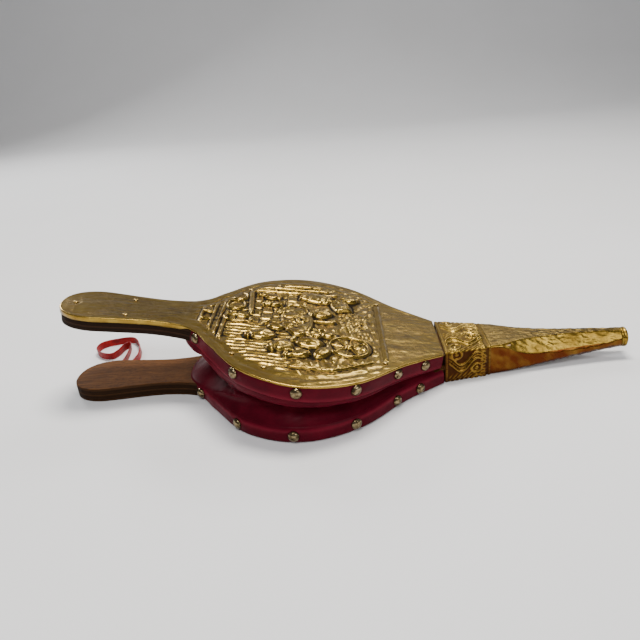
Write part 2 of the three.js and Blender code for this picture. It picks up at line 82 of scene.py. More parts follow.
# The hammered facet along each upper corner: place, how far it cuts in across and down.
FACET = np.array([
    [0, 0.5, 0.5], [46, 0.6, 0.6], [54, 1.4, 1.5], [61, 3.4, 4.6], [68, 5.8, 8.4],
    [78, 7.8, 11.3], [94, 8.5, 12.4], [110, 8.8, 12.6], [128, 8.4, 12], [145, 7, 10.2],
    [162, 4.5, 6.2],
])
SHEATH_START = 3.9
SHEATH_END = 162.0
SHEATH_WALL = 1.3
SHEATH_COLUMNS = 240
BAND_GIRTH = 4 * (33.5 + 14.5)    # round the sheath's wide end, where the pattern is laid out
BAND_MIDDLE = 23.0
BAND_RINGS = (5.4, 43.4)          # the rows of dots at either end of the pattern
SCROLL_PITCH = 31.0
TUBE_OUTER = 5.6
UPPER_NAILS = (15, 40, 74.5, 118.5, 166.5, 205)
LOWER_NAILS = (21, 42, 76, 123, 168, 207)
UPPER_NAIL_DEPTH = 6.4
LOWER_NAIL_HEIGHT = 6.6
NAIL_REACH = 1.9          # outside of the leather band
NAIL_SIZE = (4.6, 3.2)    # radius and dome
NECK_START = 190          # the edge is hollow from here, so a nail stands off it
NECK_NAIL_LIFT = 0.5
PIN_SIZE = (2.15, 1.15)
PIN_PAIRS = ((271, 16), (49, 59), (172, 67), (145, 84))
PLATE_PINS = ((319, 0), *((back, across * way) for back, across in PIN_PAIRS for way in (1, -1)))
PANEL_FRONT = 50.0        # the relief lies between the panel's front end
HANDLE_ROOT = 219.0       # and the handle's root
VALVE_X = -130.0
VALVE_RADIUS = 14.0
AIRWAY_START = -75
AIRWAY_HALF_WIDTH = 7
AIRWAY_FLOOR = 5
BAND_START = -1.2
BAND_END = 211.0
FOLD_START = 5.0
FOLD_CORNER = 206.0
FOLD_CROSSING = 222.0
FOLD_OFFSET = 1.05        # outside of the flange, behind the band
FOLD_SIDE_RATIO = 0.70    # inward depth of the fold for each mm between the boards
FOLD_REAR_RATIO = 0.72
FLANGE = 6.4
CREASE = 0.50             # height of the crease, as a share of the gap
KNUCKLE = 0.42            # the taut ridge at the neck bends forward to a knuckle at this height
RIDGE_FRONT = 172.0
RIDGE_BACK = 201.0
BODY_REACH = 2.5          # brass beyond the board's edge
HANDLE_REACH = 0.9
BODY_SKIRT = 1.3
HANDLE_SKIRT = 4.2
HINGE_HEIGHT = 21.5
HINGE_LEATHER = 1.2
HINGE_HALF_WIDTH = 21.9
KERF = (-16.3, 22.3, 0.95)        # depth into the lid's end, half-width and half-height
TONGUE_END = 40.0
TONGUE = (1.5, 24.0, 1.3)         # start, half-width and underside
TONGUE_SPREAD = 0.29              # wider at its root by this share
LOOP_PATH = (
    (-283, 28), (-287, 28.1), (-289.8, 31.5), (-288.5, 50), (-294, 72), (-305, 88), (-321, 87),
    (-336, 80), (-337, 67), (-327, 56), (-317.5, 53.5), (-313, 60), (-309.5, 74),
    (-305.5, 77), (-303, 70), (-301, 55), (-300.5, 40), (-301.2, 31.5), (-304, 28.1), (-308, 28),
)
LOOP_WIDTH = 7.5
LOOP_THICKNESS = 1.2
LOOP_LIFT = 0.3
# painted reflection: the reddish tone an orange mat would mirror onto the sheath's upright sides
MAT_REFLECTION_TONE = (0.092, 0.021, 0.006)

CAMERA_PLACE = (0.007, -0.499, 0.282)
CAMERA_LENS = 34.9
CAMERA_HEADING = math.radians(-3.1)     # from +Y towards +X
CAMERA_PITCH = math.radians(24.6)       # below level
CAMERA_ROLL = math.radians(-5.2)

LID_PLACE = (Matrix.Translation((HINGE_X * MM, 0, LID_HEIGHT * MM))
             @ Matrix.Rotation(LID_TILT, 4, "Y"))
BASE_PLACE = Matrix.Translation((HINGE_X * MM, 0, 0))


# ---- curves

def spline(points, steps):
    """Centripetal Catmull-Rom through the points, as the solids are drawn."""
    p = np.array(points, float)
    p = np.vstack([2 * p[0] - p[1], p, 2 * p[-1] - p[-2]])
    found = []
    for a, b, c, d in zip(p[:-3], p[1:-2], p[2:-1], p[3:]):
        gaps = [max(np.hypot(*(q - r)[:2]), 1e-6) ** 0.5 for q, r in ((b, a), (c, b), (d, c))]
        t1 = ((b - a) / gaps[0] - (c - a) / (gaps[0] + gaps[1]) + (c - b) / gaps[1]) * gaps[1]
        t2 = ((c - b) / gaps[1] - (d - b) / (gaps[1] + gaps[2]) + (d - c) / gaps[2]) * gaps[1]
        t = np.arange(steps)[:, None] / steps
        found.append(b + t1 * t + (3 * (c - b) - 2 * t1 - t2) * t ** 2
                     + (2 * (b - c) + t1 + t2) * t ** 3)
    return np.vstack([*found, p[-2]])


def make_side():
    body = spline(SIDE_POINTS, 28)
    angle = np.linspace(0, math.pi / 2, 60)[1:]
    power = 2 / ROUND_POWER
    back = ROUND_START + (BOARD_LENGTH - ROUND_START) * np.sin(angle) ** power
    half = SIDE_POINTS[-1][1] * np.clip(np.cos(angle), 0, 1) ** power
    return np.vstack([body, np.column_stack([back, half])])


def lengths_along(points):
    steps = np.linalg.norm(np.diff(points, axis=0), axis=1)
    return np.concatenate([[0], np.cumsum(steps)])


def directions(points):
    ahead = np.gradient(points, axis=0)
    return ahead / np.linalg.norm(ahead, axis=1)[:, None]


SIDE = make_side()
SIDE_RUN = lengths_along(SIDE)


def edge_point(run):
    return np.array([np.interp(run, SIDE_RUN, SIDE[:, k]) for k in (0, 1)])


def side_at(run):
    """Back, half-width and outward direction (x, y) at lengths along the board's left edge."""
    run = np.atleast_1d(run)
    back, half = edge_point(run)
    ds, dw = edge_point(run + 0.8) - edge_point(run - 0.8)
    length = np.hypot(ds, dw)
    return back, half, dw / length, ds / length


def edge_moved(run, move):
    """The left edge moved outwards, as distances behind the hinge line and half-widths."""
    back, half, out_x, out_y = side_at(run)
    return back - out_x * move, half + out_y * move


def run_of(back):
    return np.interp(back, SIDE[:, 0], SIDE_RUN)


def half_at(back):
    return np.interp(back, SIDE[:, 0], SIDE[:, 1])


# ---- noise on arrays

def lattice(ix, iy, seed):
    n = (ix.astype(np.int64) * 374761393 + iy.astype(np.int64) * 668265263 + seed * 982451653)
    n = (n ^ (n >> 13)) * 1274126177
    return ((n ^ (n >> 16)) & 0xFFFF) / 65535.0


def value_noise(x, y, seed=0):
    ix, iy = np.floor(x), np.floor(y)
    fx, fy = x - ix, y - iy
    fx, fy = fx * fx * (3 - 2 * fx), fy * fy * (3 - 2 * fy)
    a, b = lattice(ix, iy, seed), lattice(ix + 1, iy, seed)
    c, d = lattice(ix, iy + 1, seed), lattice(ix + 1, iy + 1, seed)
    return (a + (b - a) * fx) * (1 - fy) + (c + (d - c) * fx) * fy - 0.5


def rough_noise(x, y, seed=0, layers=3):
    return sum(value_noise(x * 2 ** k, y * 2 ** k, seed + k) / 2 ** k for k in range(layers))


def cells(x, y, seed=0):
    """Distance to the nearest of scattered points: the bowls that a hammer leaves."""
    ix, iy = np.floor(x), np.floor(y)
    best = np.full(np.shape(x), 9.0)
    for dx in (-1, 0, 1):
        for dy in (-1, 0, 1):
            cx = ix + dx + 0.15 + 0.7 * lattice(ix + dx, iy + dy, seed)
            cy = iy + dy + 0.15 + 0.7 * lattice(ix + dx, iy + dy, seed + 9)
            best = np.minimum(best, np.hypot(x - cx, y - cy))
    return best


def smooth(x, low, high):
    t = np.clip((x - low) / (high - low), 0, 1)
    return t * t * (3 - 2 * t)


def bell(x, width, power=2):
    return np.exp(-(x / width) ** power)


def swelling(r, power=2):
    """A rounded height: 1 in the middle, and 0 from r = 1 outwards."""
    return np.sqrt(np.clip(1 - r ** power, 0, 1))


def cos_sin(degrees):
    return math.cos(math.radians(degrees)), math.sin(math.radians(degrees))


# ---- meshes

def lidwards(points):
    """Points in the lid's own frame, in mm, to the row frame, in metres."""
    return placed(points, LID_PLACE)


def basewards(points):
    return placed(points, BASE_PLACE)


def placed(points, matrix):
    m = np.array(matrix)
    flat = np.asarray(points, float).reshape(-1, 3) * MM
    return (flat @ m[:3, :3].T + m[:3, 3]).reshape(np.shape(points))


def set_attribute(mesh, name, values):
    values = np.asarray(values, np.float32)
    kind = "FLOAT_VECTOR" if values.ndim > 1 else "FLOAT"
    layer = mesh.attributes.new(name, kind, "POINT")
    layer.data.foreach_set("vector" if values.ndim > 1 else "value", values.ravel())


def make_object(name, points, faces, look, place=None, extra=None, weld=2e-6, sharp=40):
    """points: n x 3 in the row frame. place: each point's own coordinates for the material."""
    mesh = bpy.data.meshes.new(name)
    mesh.from_pydata(np.asarray(points).reshape(-1, 3).tolist(), [], faces)
    place = points if place is None else place
    set_attribute(mesh, "place", np.asarray(place).reshape(-1, 3))
    for key, values in (extra or {}).items():
        set_attribute(mesh, key, np.asarray(values).ravel())
    bm = bmesh.new()
    bm.from_mesh(mesh)
    bmesh.ops.remove_doubles(bm, verts=bm.verts, dist=weld)
    bmesh.ops.dissolve_degenerate(bm, edges=bm.edges, dist=weld)
    bmesh.ops.recalc_face_normals(bm, faces=bm.faces)
    bm.to_mesh(mesh)
    bm.free()
    mesh.shade_smooth()
    mesh.set_sharp_from_angle(angle=math.radians(sharp))
    mesh.materials.append(look)
    obj = bpy.data.objects.new(name, mesh)
    bpy.context.scene.collection.objects.link(obj)
    return obj


def settle(obj, body, node):
    """A piece that rides on a body in place of one of its solids."""
    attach(obj, body)
    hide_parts(node)


def loft_faces(rows, columns, ends="filled"):
    """Quads between closed loops. ends: filled with a face, joined to each other, or open."""
    faces = []
    for i in range(rows if ends == "joined" else rows - 1):
        here, there = i * columns, (i + 1) % rows * columns
        for j in range(columns):
            k = (j + 1) % columns
            faces.append((here + j, here + k, there + k, there + j))
    if ends == "filled":
        faces.append(tuple(range(columns)))
        faces.append(tuple((rows - 1) * columns + j for j in reversed(range(columns))))
    return faces


def make_loft(name, points, placing, look):
    """A closed solid through loops of points in a body's own frame, which its material follows."""
    return make_object(name, placing(points), loft_faces(*points.shape[:2]), look, points * MM)


def both_halves(lower):
    """A strip's section from its lower half, which is repeated upside down on the way back."""
    return lower + [(across, -up) for across, up in reversed(lower)]


def turned_points(profile, segments):
    """A profile of (along, radius) turned about Z, as rows of closed loops."""
    angle = np.arange(segments) * 2 * math.pi / segments
    rows = [np.column_stack([r * np.cos(angle), r * np.sin(angle), np.full(segments, a)])
            for a, r in profile]
    return np.array(rows)


# ---- material nodes

def shade(color, by):
    """A colour made darker or lighter, by one factor or by one for each channel."""
    return tuple(np.minimum(np.multiply(color, by), 1).tolist())


class Look:
    """A short way to write a node material."""

    def __init__(self, name):
        self.material = bpy.data.materials.new(name)
        self.material.use_nodes = True
        self.tree = self.material.node_tree
        self.shader = self.tree.nodes["Principled BSDF"]

    def node(self, kind, **settings):
        node = self.tree.nodes.new(kind)
        for key, value in settings.items():
            setattr(node, key, value)
        return node

    def link(self, value, socket):
        """Links an output, or sets a number or a colour on the socket itself."""
        if isinstance(value, bpy.types.NodeSocket):
            self.tree.links.new(value, socket)
        else:
            socket.default_value = (*value, 1) if isinstance(value, tuple) else value

    def place(self):
        return self.node("ShaderNodeAttribute", attribute_name="place").outputs["Vector"]

    def object_place(self):
        return self.node("ShaderNodeTexCoord").outputs["Object"]

    def value(self, name):
        return self.node("ShaderNodeAttribute", attribute_name=name).outputs["Fac"]

    def scaled(self, vector, scale, turn=(0, 0, 0)):
        node = self.node("ShaderNodeMapping")
        self.link(vector, node.inputs["Vector"])
        node.inputs["Scale"].default_value = scale
        node.inputs["Rotation"].default_value = turn
        return node.outputs["Vector"]

    def noise(self, vector, scale, detail=4, rough=0.55, distortion=0.0):
        node = self.node("ShaderNodeTexNoise")
        self.link(vector, node.inputs["Vector"])
        for key, value in (("Scale", scale), ("Detail", detail), ("Roughness", rough),
                           ("Distortion", distortion)):
            node.inputs[key].default_value = value
        return node.outputs["Fac"]

    def cells(self, vector, scale, feature="F1"):
        node = self.node("ShaderNodeTexVoronoi", feature=feature)
        self.link(vector, node.inputs["Vector"])
        node.inputs["Scale"].default_value = scale
        return node.outputs["Distance"]

    def math(self, operation, a, b=0.0, clamp=False):
        node = self.node("ShaderNodeMath", operation=operation, use_clamp=clamp)
        self.link(a, node.inputs[0])
        self.link(b, node.inputs[1])
        return node.outputs[0]

    def ramp(self, factor, *stops):
        node = self.node("ShaderNodeValToRGB")
        self.link(factor, node.inputs["Fac"])
        elements = node.color_ramp.elements
        while len(elements) < len(stops):
            elements.new(0.5)
        for element, (place, color) in zip(elements, stops):
            element.position = place
            channels = color if isinstance(color, tuple) else (color, color, color)
            element.color = (*channels, 1)
        return node.outputs["Color"]

    def mix(self, factor, a, b, kind="MIX"):
        node = self.node("ShaderNodeMix", data_type="RGBA", blend_type=kind)
        for value, key in ((factor, "Factor"), (a, 6), (b, 7)):
            self.link(value, node.inputs[key])
        return node.outputs[2]

    def parts(self, vector):
        node = self.node("ShaderNodeSeparateXYZ")
        self.link(vector, node.inputs[0])
        return node.outputs

    def bump(self, height, strength, distance, normal=None):
        node = self.node("ShaderNodeBump")
        self.link(height, node.inputs["Height"])
        node.inputs["Strength"].default_value = strength
        node.inputs["Distance"].default_value = distance
        if normal is not None:
            self.link(normal, node.inputs["Normal"])
        return node.outputs["Normal"]

    def finish(self, color, roughness, metallic=0.0, normal=None, **fixed):
        for key, value in (("Base Color", color), ("Roughness", roughness), ("Metallic", metallic)):
            self.link(value, self.shader.inputs[key])
        if normal is not None:
            self.link(normal, self.shader.inputs["Normal"])
        for key, value in fixed.items():
            self.shader.inputs[key.replace("_", " ")].default_value = value
        return self.material


def brass_look(name, bright, patina, film_tint, polish):
    """Brass: "cavity" darkens the recesses, "tarnish" dulls, and a third attribute paints a
    reflection: the sheath's sides reddened as if mirroring an orange mat.
    """
    look = Look(name)
    place = look.place()
    cloud = look.noise(place, 70, 5, 0.6)
    streak = look.noise(look.scaled(place, (25, 130, 130), (0, 0, 0.35)), 3, 5, 0.65, 0.6)
    fine = look.noise(place, 900, 3, 0.6)
    film = look.ramp(streak, (0.36, 0.3), (0.6, 1.0))
    dull = look.math("MULTIPLY", look.value("tarnish"), film, clamp=True)
    soft = look.math("MULTIPLY", look.ramp(cloud, (0.45, 0.0), (0.8, 0.5)), 0.5)
    hollow = look.math("ADD", look.value("cavity"), soft, clamp=True)
    warm = look.mix(look.ramp(cloud, (0.35, 0.0), (0.7, 1.0)), bright,
                    shade(bright, (0.78, 0.7, 0.55)))
    dulled = look.mix(dull, warm, shade(bright, film_tint))
    # painted reflection: mixes the reddish mat tone into the sheath's sides
    with_reflection = look.mix(look.value("mat_reflection"), dulled, MAT_REFLECTION_TONE)
    color = look.mix(hollow, with_reflection, patina)
    rough = look.math("ADD", look.math("MULTIPLY", hollow, 0.4),
                      look.math("ADD", look.math("MULTIPLY", dull, 0.2),
                                look.math("MULTIPLY", fine, 0.12)))
    rough = look.math("ADD", rough, polish)
    scratch = look.noise(look.scaled(place, (60, 900, 900), (0, 0, 0.9)), 2, 4, 0.7)
    normal = look.bump(scratch, 0.05, 0.0003)
    normal = look.bump(look.noise(place, 210, 3, 0.5), 0.16, 0.0006, normal)
    return look.finish(color, rough, 1.0, normal)


def nail_look():
    look = Look("worn_nail_metal")
    place = look.place()
    wear = look.noise(place, 330, 4, 0.6)
    color = look.ramp(wear, (0.36, (0.03, 0.02, 0.012)), (0.47, (0.14, 0.1, 0.048)),
                      (0.74, (0.36, 0.285, 0.16)))
    rough = look.ramp(wear, (0.36, 0.5), (0.5, 0.2))
    normal = look.bump(look.noise(place, 700, 3), 0.3, 0.0004)
    return look.finish(color, rough, 1.0, normal)


def plain_pin_look():
    look = Look("pin_brass")
    wear = look.noise(look.place(), 500, 3, 0.6)
    color = look.ramp(wear, (0.35, (0.22, 0.13, 0.035)), (0.6, (0.5, 0.35, 0.11)))
    return look.finish(color, look.ramp(wear, (0.3, 0.45), (0.6, 0.2)), 1.0)


def leather_look(name, deep, lit, grain=1500, rough=0.3, coat=0.25):
    look = Look(name)
    place = look.place()
    cloud = look.noise(place, 40, 5, 0.6)
    pebble = look.cells(place, grain)
    wear = look.noise(place, 160, 5, 0.7)
    color = look.mix(look.ramp(cloud, (0.3, 0.0), (0.7, 1.0)), deep, lit)
    color = look.mix(look.ramp(wear, (0.66, 0.0), (0.85, 0.3)), color,
                     tuple(min(c * 1.5 + 0.01, 1) for c in lit))
    # painted highlight: a lighter red along the bands' rounded edges, where the attribute is set
    color = look.mix(look.value("edge_highlight"), color, tuple(c * 2.2 + 0.006 for c in lit))
    roughness = look.math("ADD", look.math("MULTIPLY", wear, 0.2), rough - 0.1)
    normal = look.bump(pebble, 0.16, 0.0003)
    normal = look.bump(look.noise(place, 90, 4, 0.6), 0.22, 0.0010, normal)
    look.shader.inputs["Coat Roughness"].default_value = 0.25
    return look.finish(color, roughness, 0.0, normal, Coat_Weight=coat, Specular_IOR_Level=0.05,
                       IOR=1.35, Sheen_Weight=0.3, Sheen_Tint=(0.5, 0.05, 0.09, 1),
                       Sheen_Roughness=0.4)


def ply_look(name, face, edge_tone, gloss):
    """Stained ply: grain along X on the faces, five plies on the edge."""
    look = Look(name)
    place = look.place()
    grain = look.noise(look.scaled(place, (9, 95, 60)), 3, 7, 0.66, 1.2)
    pores = look.noise(look.scaled(place, (110, 420, 420)), 1.2, 4, 0.65)
    blotch = look.noise(place, 24, 4, 0.6)
    base = look.ramp(grain, (0.28, shade(face, 0.42)), (0.5, face), (0.72, shade(face, 1.55)))
    base = look.mix(look.ramp(blotch, (0.3, 0.0), (0.75, 0.55)), base, shade(face, 0.5))
    base = look.mix(look.ramp(pores, (0.34, 0.75), (0.5, 0.0)), base, shade(face, 0.35))
    ragged = look.math("MULTIPLY", look.noise(place, 300, 3), 0.0006)
    height = look.math("ADD", look.parts(place)[2], ragged)
    layer = look.math("FRACT", look.math("MULTIPLY", height, 2.5 / (BOARD_THICKNESS * MM)))
    ply = look.ramp(layer, (0.0, 0.12), (0.06, 0.34), (0.42, 0.8), (0.47, 0.18), (0.53, 0.15),
                    (0.6, 0.36), (0.93, 0.3), (1.0, 0.12))
    upright = look.node("ShaderNodeTexCoord").outputs["Normal"]
    edge = look.ramp(look.math("ABSOLUTE", look.parts(upright)[2]), (0.45, 1.0), (0.8, 0.0))
    side = look.mix(1.0, look.mix(0.75, base, edge_tone), ply, "MULTIPLY")
    color = look.mix(edge, base, side)
    normal = look.bump(pores, 0.3, 0.0004)
    normal = look.bump(look.math("MULTIPLY", ply, edge), 0.5, 0.0003, normal)
    rough = look.math("ADD", look.math("MULTIPLY", pores, 0.25), gloss)
    return look.finish(color, rough, 0.0, normal, Specular_IOR_Level=0.06)


def plain_look(name, low, high, scale, rough, metallic=0.0, bump=0.2, stretch=(1, 1, 1)):
    look = Look(name)
    place = look.scaled(look.object_place(), stretch)
    grain = look.noise(place, scale, 5, 0.6)
    color = look.ramp(grain, (0.3, low), (0.7, high))
    roughness = look.math("ADD", look.math("MULTIPLY", grain, 0.25), rough - 0.12)
    return look.finish(color, roughness, metallic, look.bump(grain, bump, 0.0004))


def ribbon_look():
    look = Look("red_ribbon")
    place = look.place()
    along, across, _ = look.parts(place)
    warp = look.math("SINE", look.math("MULTIPLY", along, 9000))
    weft = look.math("SINE", look.math("MULTIPLY", across, 12000))
    weave = look.math("MULTIPLY", warp, weft)
    cloud = look.noise(place, 120, 4)
    color = look.ramp(cloud, (0.3, (0.15, 0.003, 0.006)), (0.7, (0.42, 0.011, 0.011)))
    normal = look.bump(weave, 0.3, 0.0002)
    return look.finish(color, look.math("ADD", look.math("MULTIPLY", cloud, 0.2), 0.35), 0.0,
                       normal, Sheen_Weight=0.1, Specular_IOR_Level=0.15)


# ---- camera, floor and light

def make_camera():
    """Stands in front of the right-hand side, looking down a little."""
    data = bpy.data.cameras.new("camera")
    data.sensor_width = 36
    data.lens = CAMERA_LENS
    camera = bpy.data.objects.new("camera", data)
    bpy.context.scene.collection.objects.link(camera)
    camera.matrix_world = (Matrix.Translation(CAMERA_PLACE)
                           @ Matrix.Rotation(-CAMERA_HEADING, 4, "Z")
                           @ Matrix.Rotation(math.pi / 2 - CAMERA_PITCH, 4, "X")
                           @ Matrix.Rotation(CAMERA_ROLL, 4, "Z"))
    bpy.context.scene.camera = camera


def make_floor():
    """A pale floor that sweeps up into a backdrop."""
    depth = [(-3.0, 0.0), (1.6, 0.0)]
    depth += [(1.6 + 0.9 * math.sin(a), 0.9 - 0.9 * math.cos(a))
              for a in np.linspace(0.05, math.pi / 2, 24)]
    depth += [(2.5, 3.2)]
    points = [(x, y, z) for y, z in depth for x in (-4.0, 4.0)]
    faces = [(2 * i, 2 * i + 1, 2 * i + 3, 2 * i + 2) for i in range(len(depth) - 1)]
    look = Look("pale_floor")
    color = look.ramp(look.noise(look.place(), 3, 3), (0.3, (0.8, 0.8, 0.8)),
                      (0.7, (0.83, 0.83, 0.835)))
    look.finish(color, 0.85)
    floor = make_object("floor", points, faces, look.material)


def soft_box(name, place, target, size, power, color=(1, 1, 1)):
    data = bpy.data.lights.new(name, "AREA")
    data.shape = "RECTANGLE"
    data.size, data.size_y = size
    data.energy = power
    data.color = color
    light = bpy.data.objects.new(name, data)
    light.location = place
    light.rotation_euler = (Vector(target) - Vector(place)).to_track_quat("-Z", "Y").to_euler()
    bpy.context.scene.collection.objects.link(light)


def make_light():
    world = bpy.data.worlds.new("studio")
    bpy.context.scene.world = world
    world.use_nodes = True
    background = world.node_tree.nodes["Background"]
    background.inputs["Color"].default_value = (0.94, 0.95, 1.0, 1)
    background.inputs["Strength"].default_value = 0.22
    soft_box("overhead", (0.1, 0.3, 1.4), (0, 0, 0), (0.6, 0.35), 24, (1.0, 0.96, 0.9))
    soft_box("back_left", (-1.1, 1.3, 0.9), (0, 0, 0.05), (0.5, 0.5), 14)
    soft_box("high_back", (0.55, 1.35, 1.2), (0.0, 0, 0.05), (0.6, 0.3), 5)
    soft_box("front_right", (0.9, -1.1, 0.8), (0.15, 0, 0.02), (1.0, 0.6), 7)
    soft_box("front_top", (-0.2, -0.8, 1.25), (0, 0, 0.02), (0.6, 0.4), 9)


# ---- the ribbon loop

def make_ribbon():
    path = spline([(x, y, LOOP_WIDTH / 2 + LOOP_LIFT) for x, y in LOOP_PATH], 9)
    run = lengths_along(path)
    ahead = directions(path)
    side = np.column_stack([-ahead[:, 1], ahead[:, 0], np.zeros(len(path))])
    half = LOOP_WIDTH / 2 - 0.12
    thick = LOOP_THICKNESS / 2 - 0.1
    quarter = [(-half, -thick * 0.5), (-half + 0.35, -thick), (-1.2, -thick * 0.8)]
    section = both_halves(quarter + [(-up, across) for up, across in reversed(quarter)])
    lean = 0.10 * np.sin(run / 23.0)
    points, place = [], []
    for centre, out, tilt, at in zip(path, side, lean, run):
        for up, across in section:
            shift = across + up * tilt * min(1, at / 20, (run[-1] - at) / 20)
            points.append(centre + out * shift + np.array([0, 0, up]))
            place.append((at * MM, up * MM, across * MM))
    faces = loft_faces(len(path), len(section))
    ribbon = make_object("ribbon_loop", basewards(points), faces, ribbon_look(), place)
    settle(ribbon, "base", "hanging_loop")


# ---- the embossed panel

STEP = 0.5                # raster spacing of the relief, in mm
PANEL_BACK = np.arange(-8, 336, STEP)
PANEL_ACROSS = np.arange(-112, 112.1, STEP)


class Relief:
    """A height field over the lid that motifs are laid into from back to front."""

    def __init__(self):
        self.up, self.across = np.meshgrid(PANEL_BACK, PANEL_ACROSS, indexing="ij")
        self.height = np.zeros_like(self.up)

    def local(self, up, across, turn):
        """Coordinates about a motif's centre, turned by "turn" degrees."""
        c, s = cos_sin(turn)
        u, v = self.up - up, self.across - across
        return u * c + v * s, v * c - u * s

    def lay(self, reach, shape, dig=0.5, width=1.6):
        """Lay a shape where reach < 0, with a cut line just outside it. reach is in mm."""
        outside = np.maximum(reach, 0)
        self.height -= dig * bell(outside, width)
        self.height = np.where(reach < 0, np.maximum(self.height + dig, shape), self.height)

    def blob(self, up, across, ru, ra, turn=0, tall=1.7, floor=0.2, dig=0.5):
        u, v = self.local(up, across, turn)
        r = np.hypot(u / ru, v / ra)
        self.lay((r - 1) * min(ru, ra), floor + tall * swelling(r, 3), dig)

    def bar(self, a, b, radius, tall=1.1, floor=0.1, dig=0.4):
        (u0, v0), (u1, v1) = a, b
        du, dv = u1 - u0, v1 - v0
        t = np.clip(((self.up - u0) * du + (self.across - v0) * dv) / (du * du + dv * dv), 0, 1)
        r = np.hypot(self.up - u0 - t * du, self.across - v0 - t * dv) / radius
        self.lay((r - 1) * radius, floor + tall * swelling(r), dig, 1.2)

    def hoop(self, up, across, ru, ra, thick, turn=0, tall=0.9, floor=0.2, dig=0.35):
        u, v = self.local(up, across, turn)
        r = (np.hypot(u / ru, v / ra) - 1) * min(ru, ra)
        self.lay(np.abs(r) - thick, floor + tall * swelling(r / thick), dig, 1.1)

    # Things on the panel, each of a plain general kind. "up" runs towards the handle.

    def jug(self, up, across, size, turn=0):
        c, s = cos_sin(turn)

        def at(u, v):
            return up + size * (u * c - v * s), across + size * (u * s + v * c)
        self.hoop(*at(0.75, 0.62), 0.5 * size, 0.36 * size, 0.12 * size, turn)
        self.blob(*at(0, 0), 0.95 * size, 0.72 * size, turn, 2.0)
        self.bar(at(0.8, 0), at(1.45, 0), 0.3 * size, 1.3, 0.5)
        self.blob(*at(1.6, 0), 0.16 * size, 0.46 * size, turn, 1.3, 0.7)
        self.blob(*at(-0.9, 0), 0.14 * size, 0.5 * size, turn, 1.0, 0.4)

    def sack(self, up, across, size, turn=0, seed=1):
        u, v = self.local(up, across, turn)
        r = np.hypot(u / size, v / (0.78 * size))
        r = r + 0.16 * rough_noise(u / 5.0 + seed, v / 5.0, seed)
        folds = 0.3 * np.sin(7 * np.arctan2(v, u - size) + 3 * rough_noise(u / 6, v / 6, seed + 3))
        body = 0.3 + 1.7 * swelling(r, 3) + 1.4 * folds * (1.1 - r)
        self.lay((r - 1) * size * 0.8, body, 0.65)
        c, s = cos_sin(turn)
        tie = up + 1.08 * size * c, across + 1.08 * size * s
        self.blob(*tie, 0.22 * size, 0.34 * size, turn, 1.5, 0.6)
        self.hoop(*tie, 0.10 * size, 0.26 * size, 0.7, turn, 0.6, 1.4)

    def barrel(self, up, across, long, wide, turn=0):
        u, v = self.local(up, across, turn)
        half = wide * (1 - 0.22 * (u / long) ** 2)
        reach = np.maximum(np.abs(u) - long, np.abs(v) - half)
        body = 0.2 + 1.9 * swelling(v / half)
        body -= 0.22 * bell(np.sin(v * math.pi / (wide * 0.42)), 0.3)
        for place in (-0.82, -0.4, 0.4, 0.82):
            body += 0.38 * bell(u / long - place, 0.075, 4)
        self.lay(reach, body, 0.6)

    def wheel(self, up, across, radius, spokes=8):
        self.blob(up, across, radius, radius, 0, 0.0, -0.25, 0.2)
        for k in range(spokes):
            a = math.pi * 2 * k / spokes + 0.2
            reach = radius * 0.95
            tip = up + reach * math.cos(a), across + reach * math.sin(a)
            self.bar((up, across), tip, 0.85, 0.8, 0.0, 0.3)
        self.hoop(up, across, radius, radius, 1.7, 0, 1.0, 0.1)
        self.blob(up, across, 3.4, 3.4, 0, 1.5, 0.4)

    def dish(self, up, across, ru, ra, turn=0):
        self.blob(up, across, ru, ra, turn, 0.25, 0.35, 0.5)
        self.hoop(up, across, ru, ra, 1.0, turn, 0.9, 0.5)
        self.hoop(up, across, ru * 0.62, ra * 0.62, 0.6, turn, 0.5, 0.4, 0.15)

    def loaf(self, up, across, ru, ra, turn=0):
        self.blob(up, across, ru, ra, turn, 1.7, 0.3)
        u, v = self.local(up, across, turn)
        inside = np.hypot(u / ru, v / ra) < 0.8
        cuts = bell(np.sin(u * math.pi / (ru * 0.42)), 0.25)
        self.height -= np.where(inside, 0.45 * cuts, 0)

    def grapes(self, up, across, size, seed):
        rng = np.random.default_rng(seed)
        for _ in range(18):
            a, r = rng.uniform(0, 2 * math.pi), size * rng.uniform(0, 1) ** 0.6
            self.blob(up + r * math.cos(a), across + 0.8 * r * math.sin(a), 2.3, 2.3, 0, 1.3, 0.5,
                      0.35)


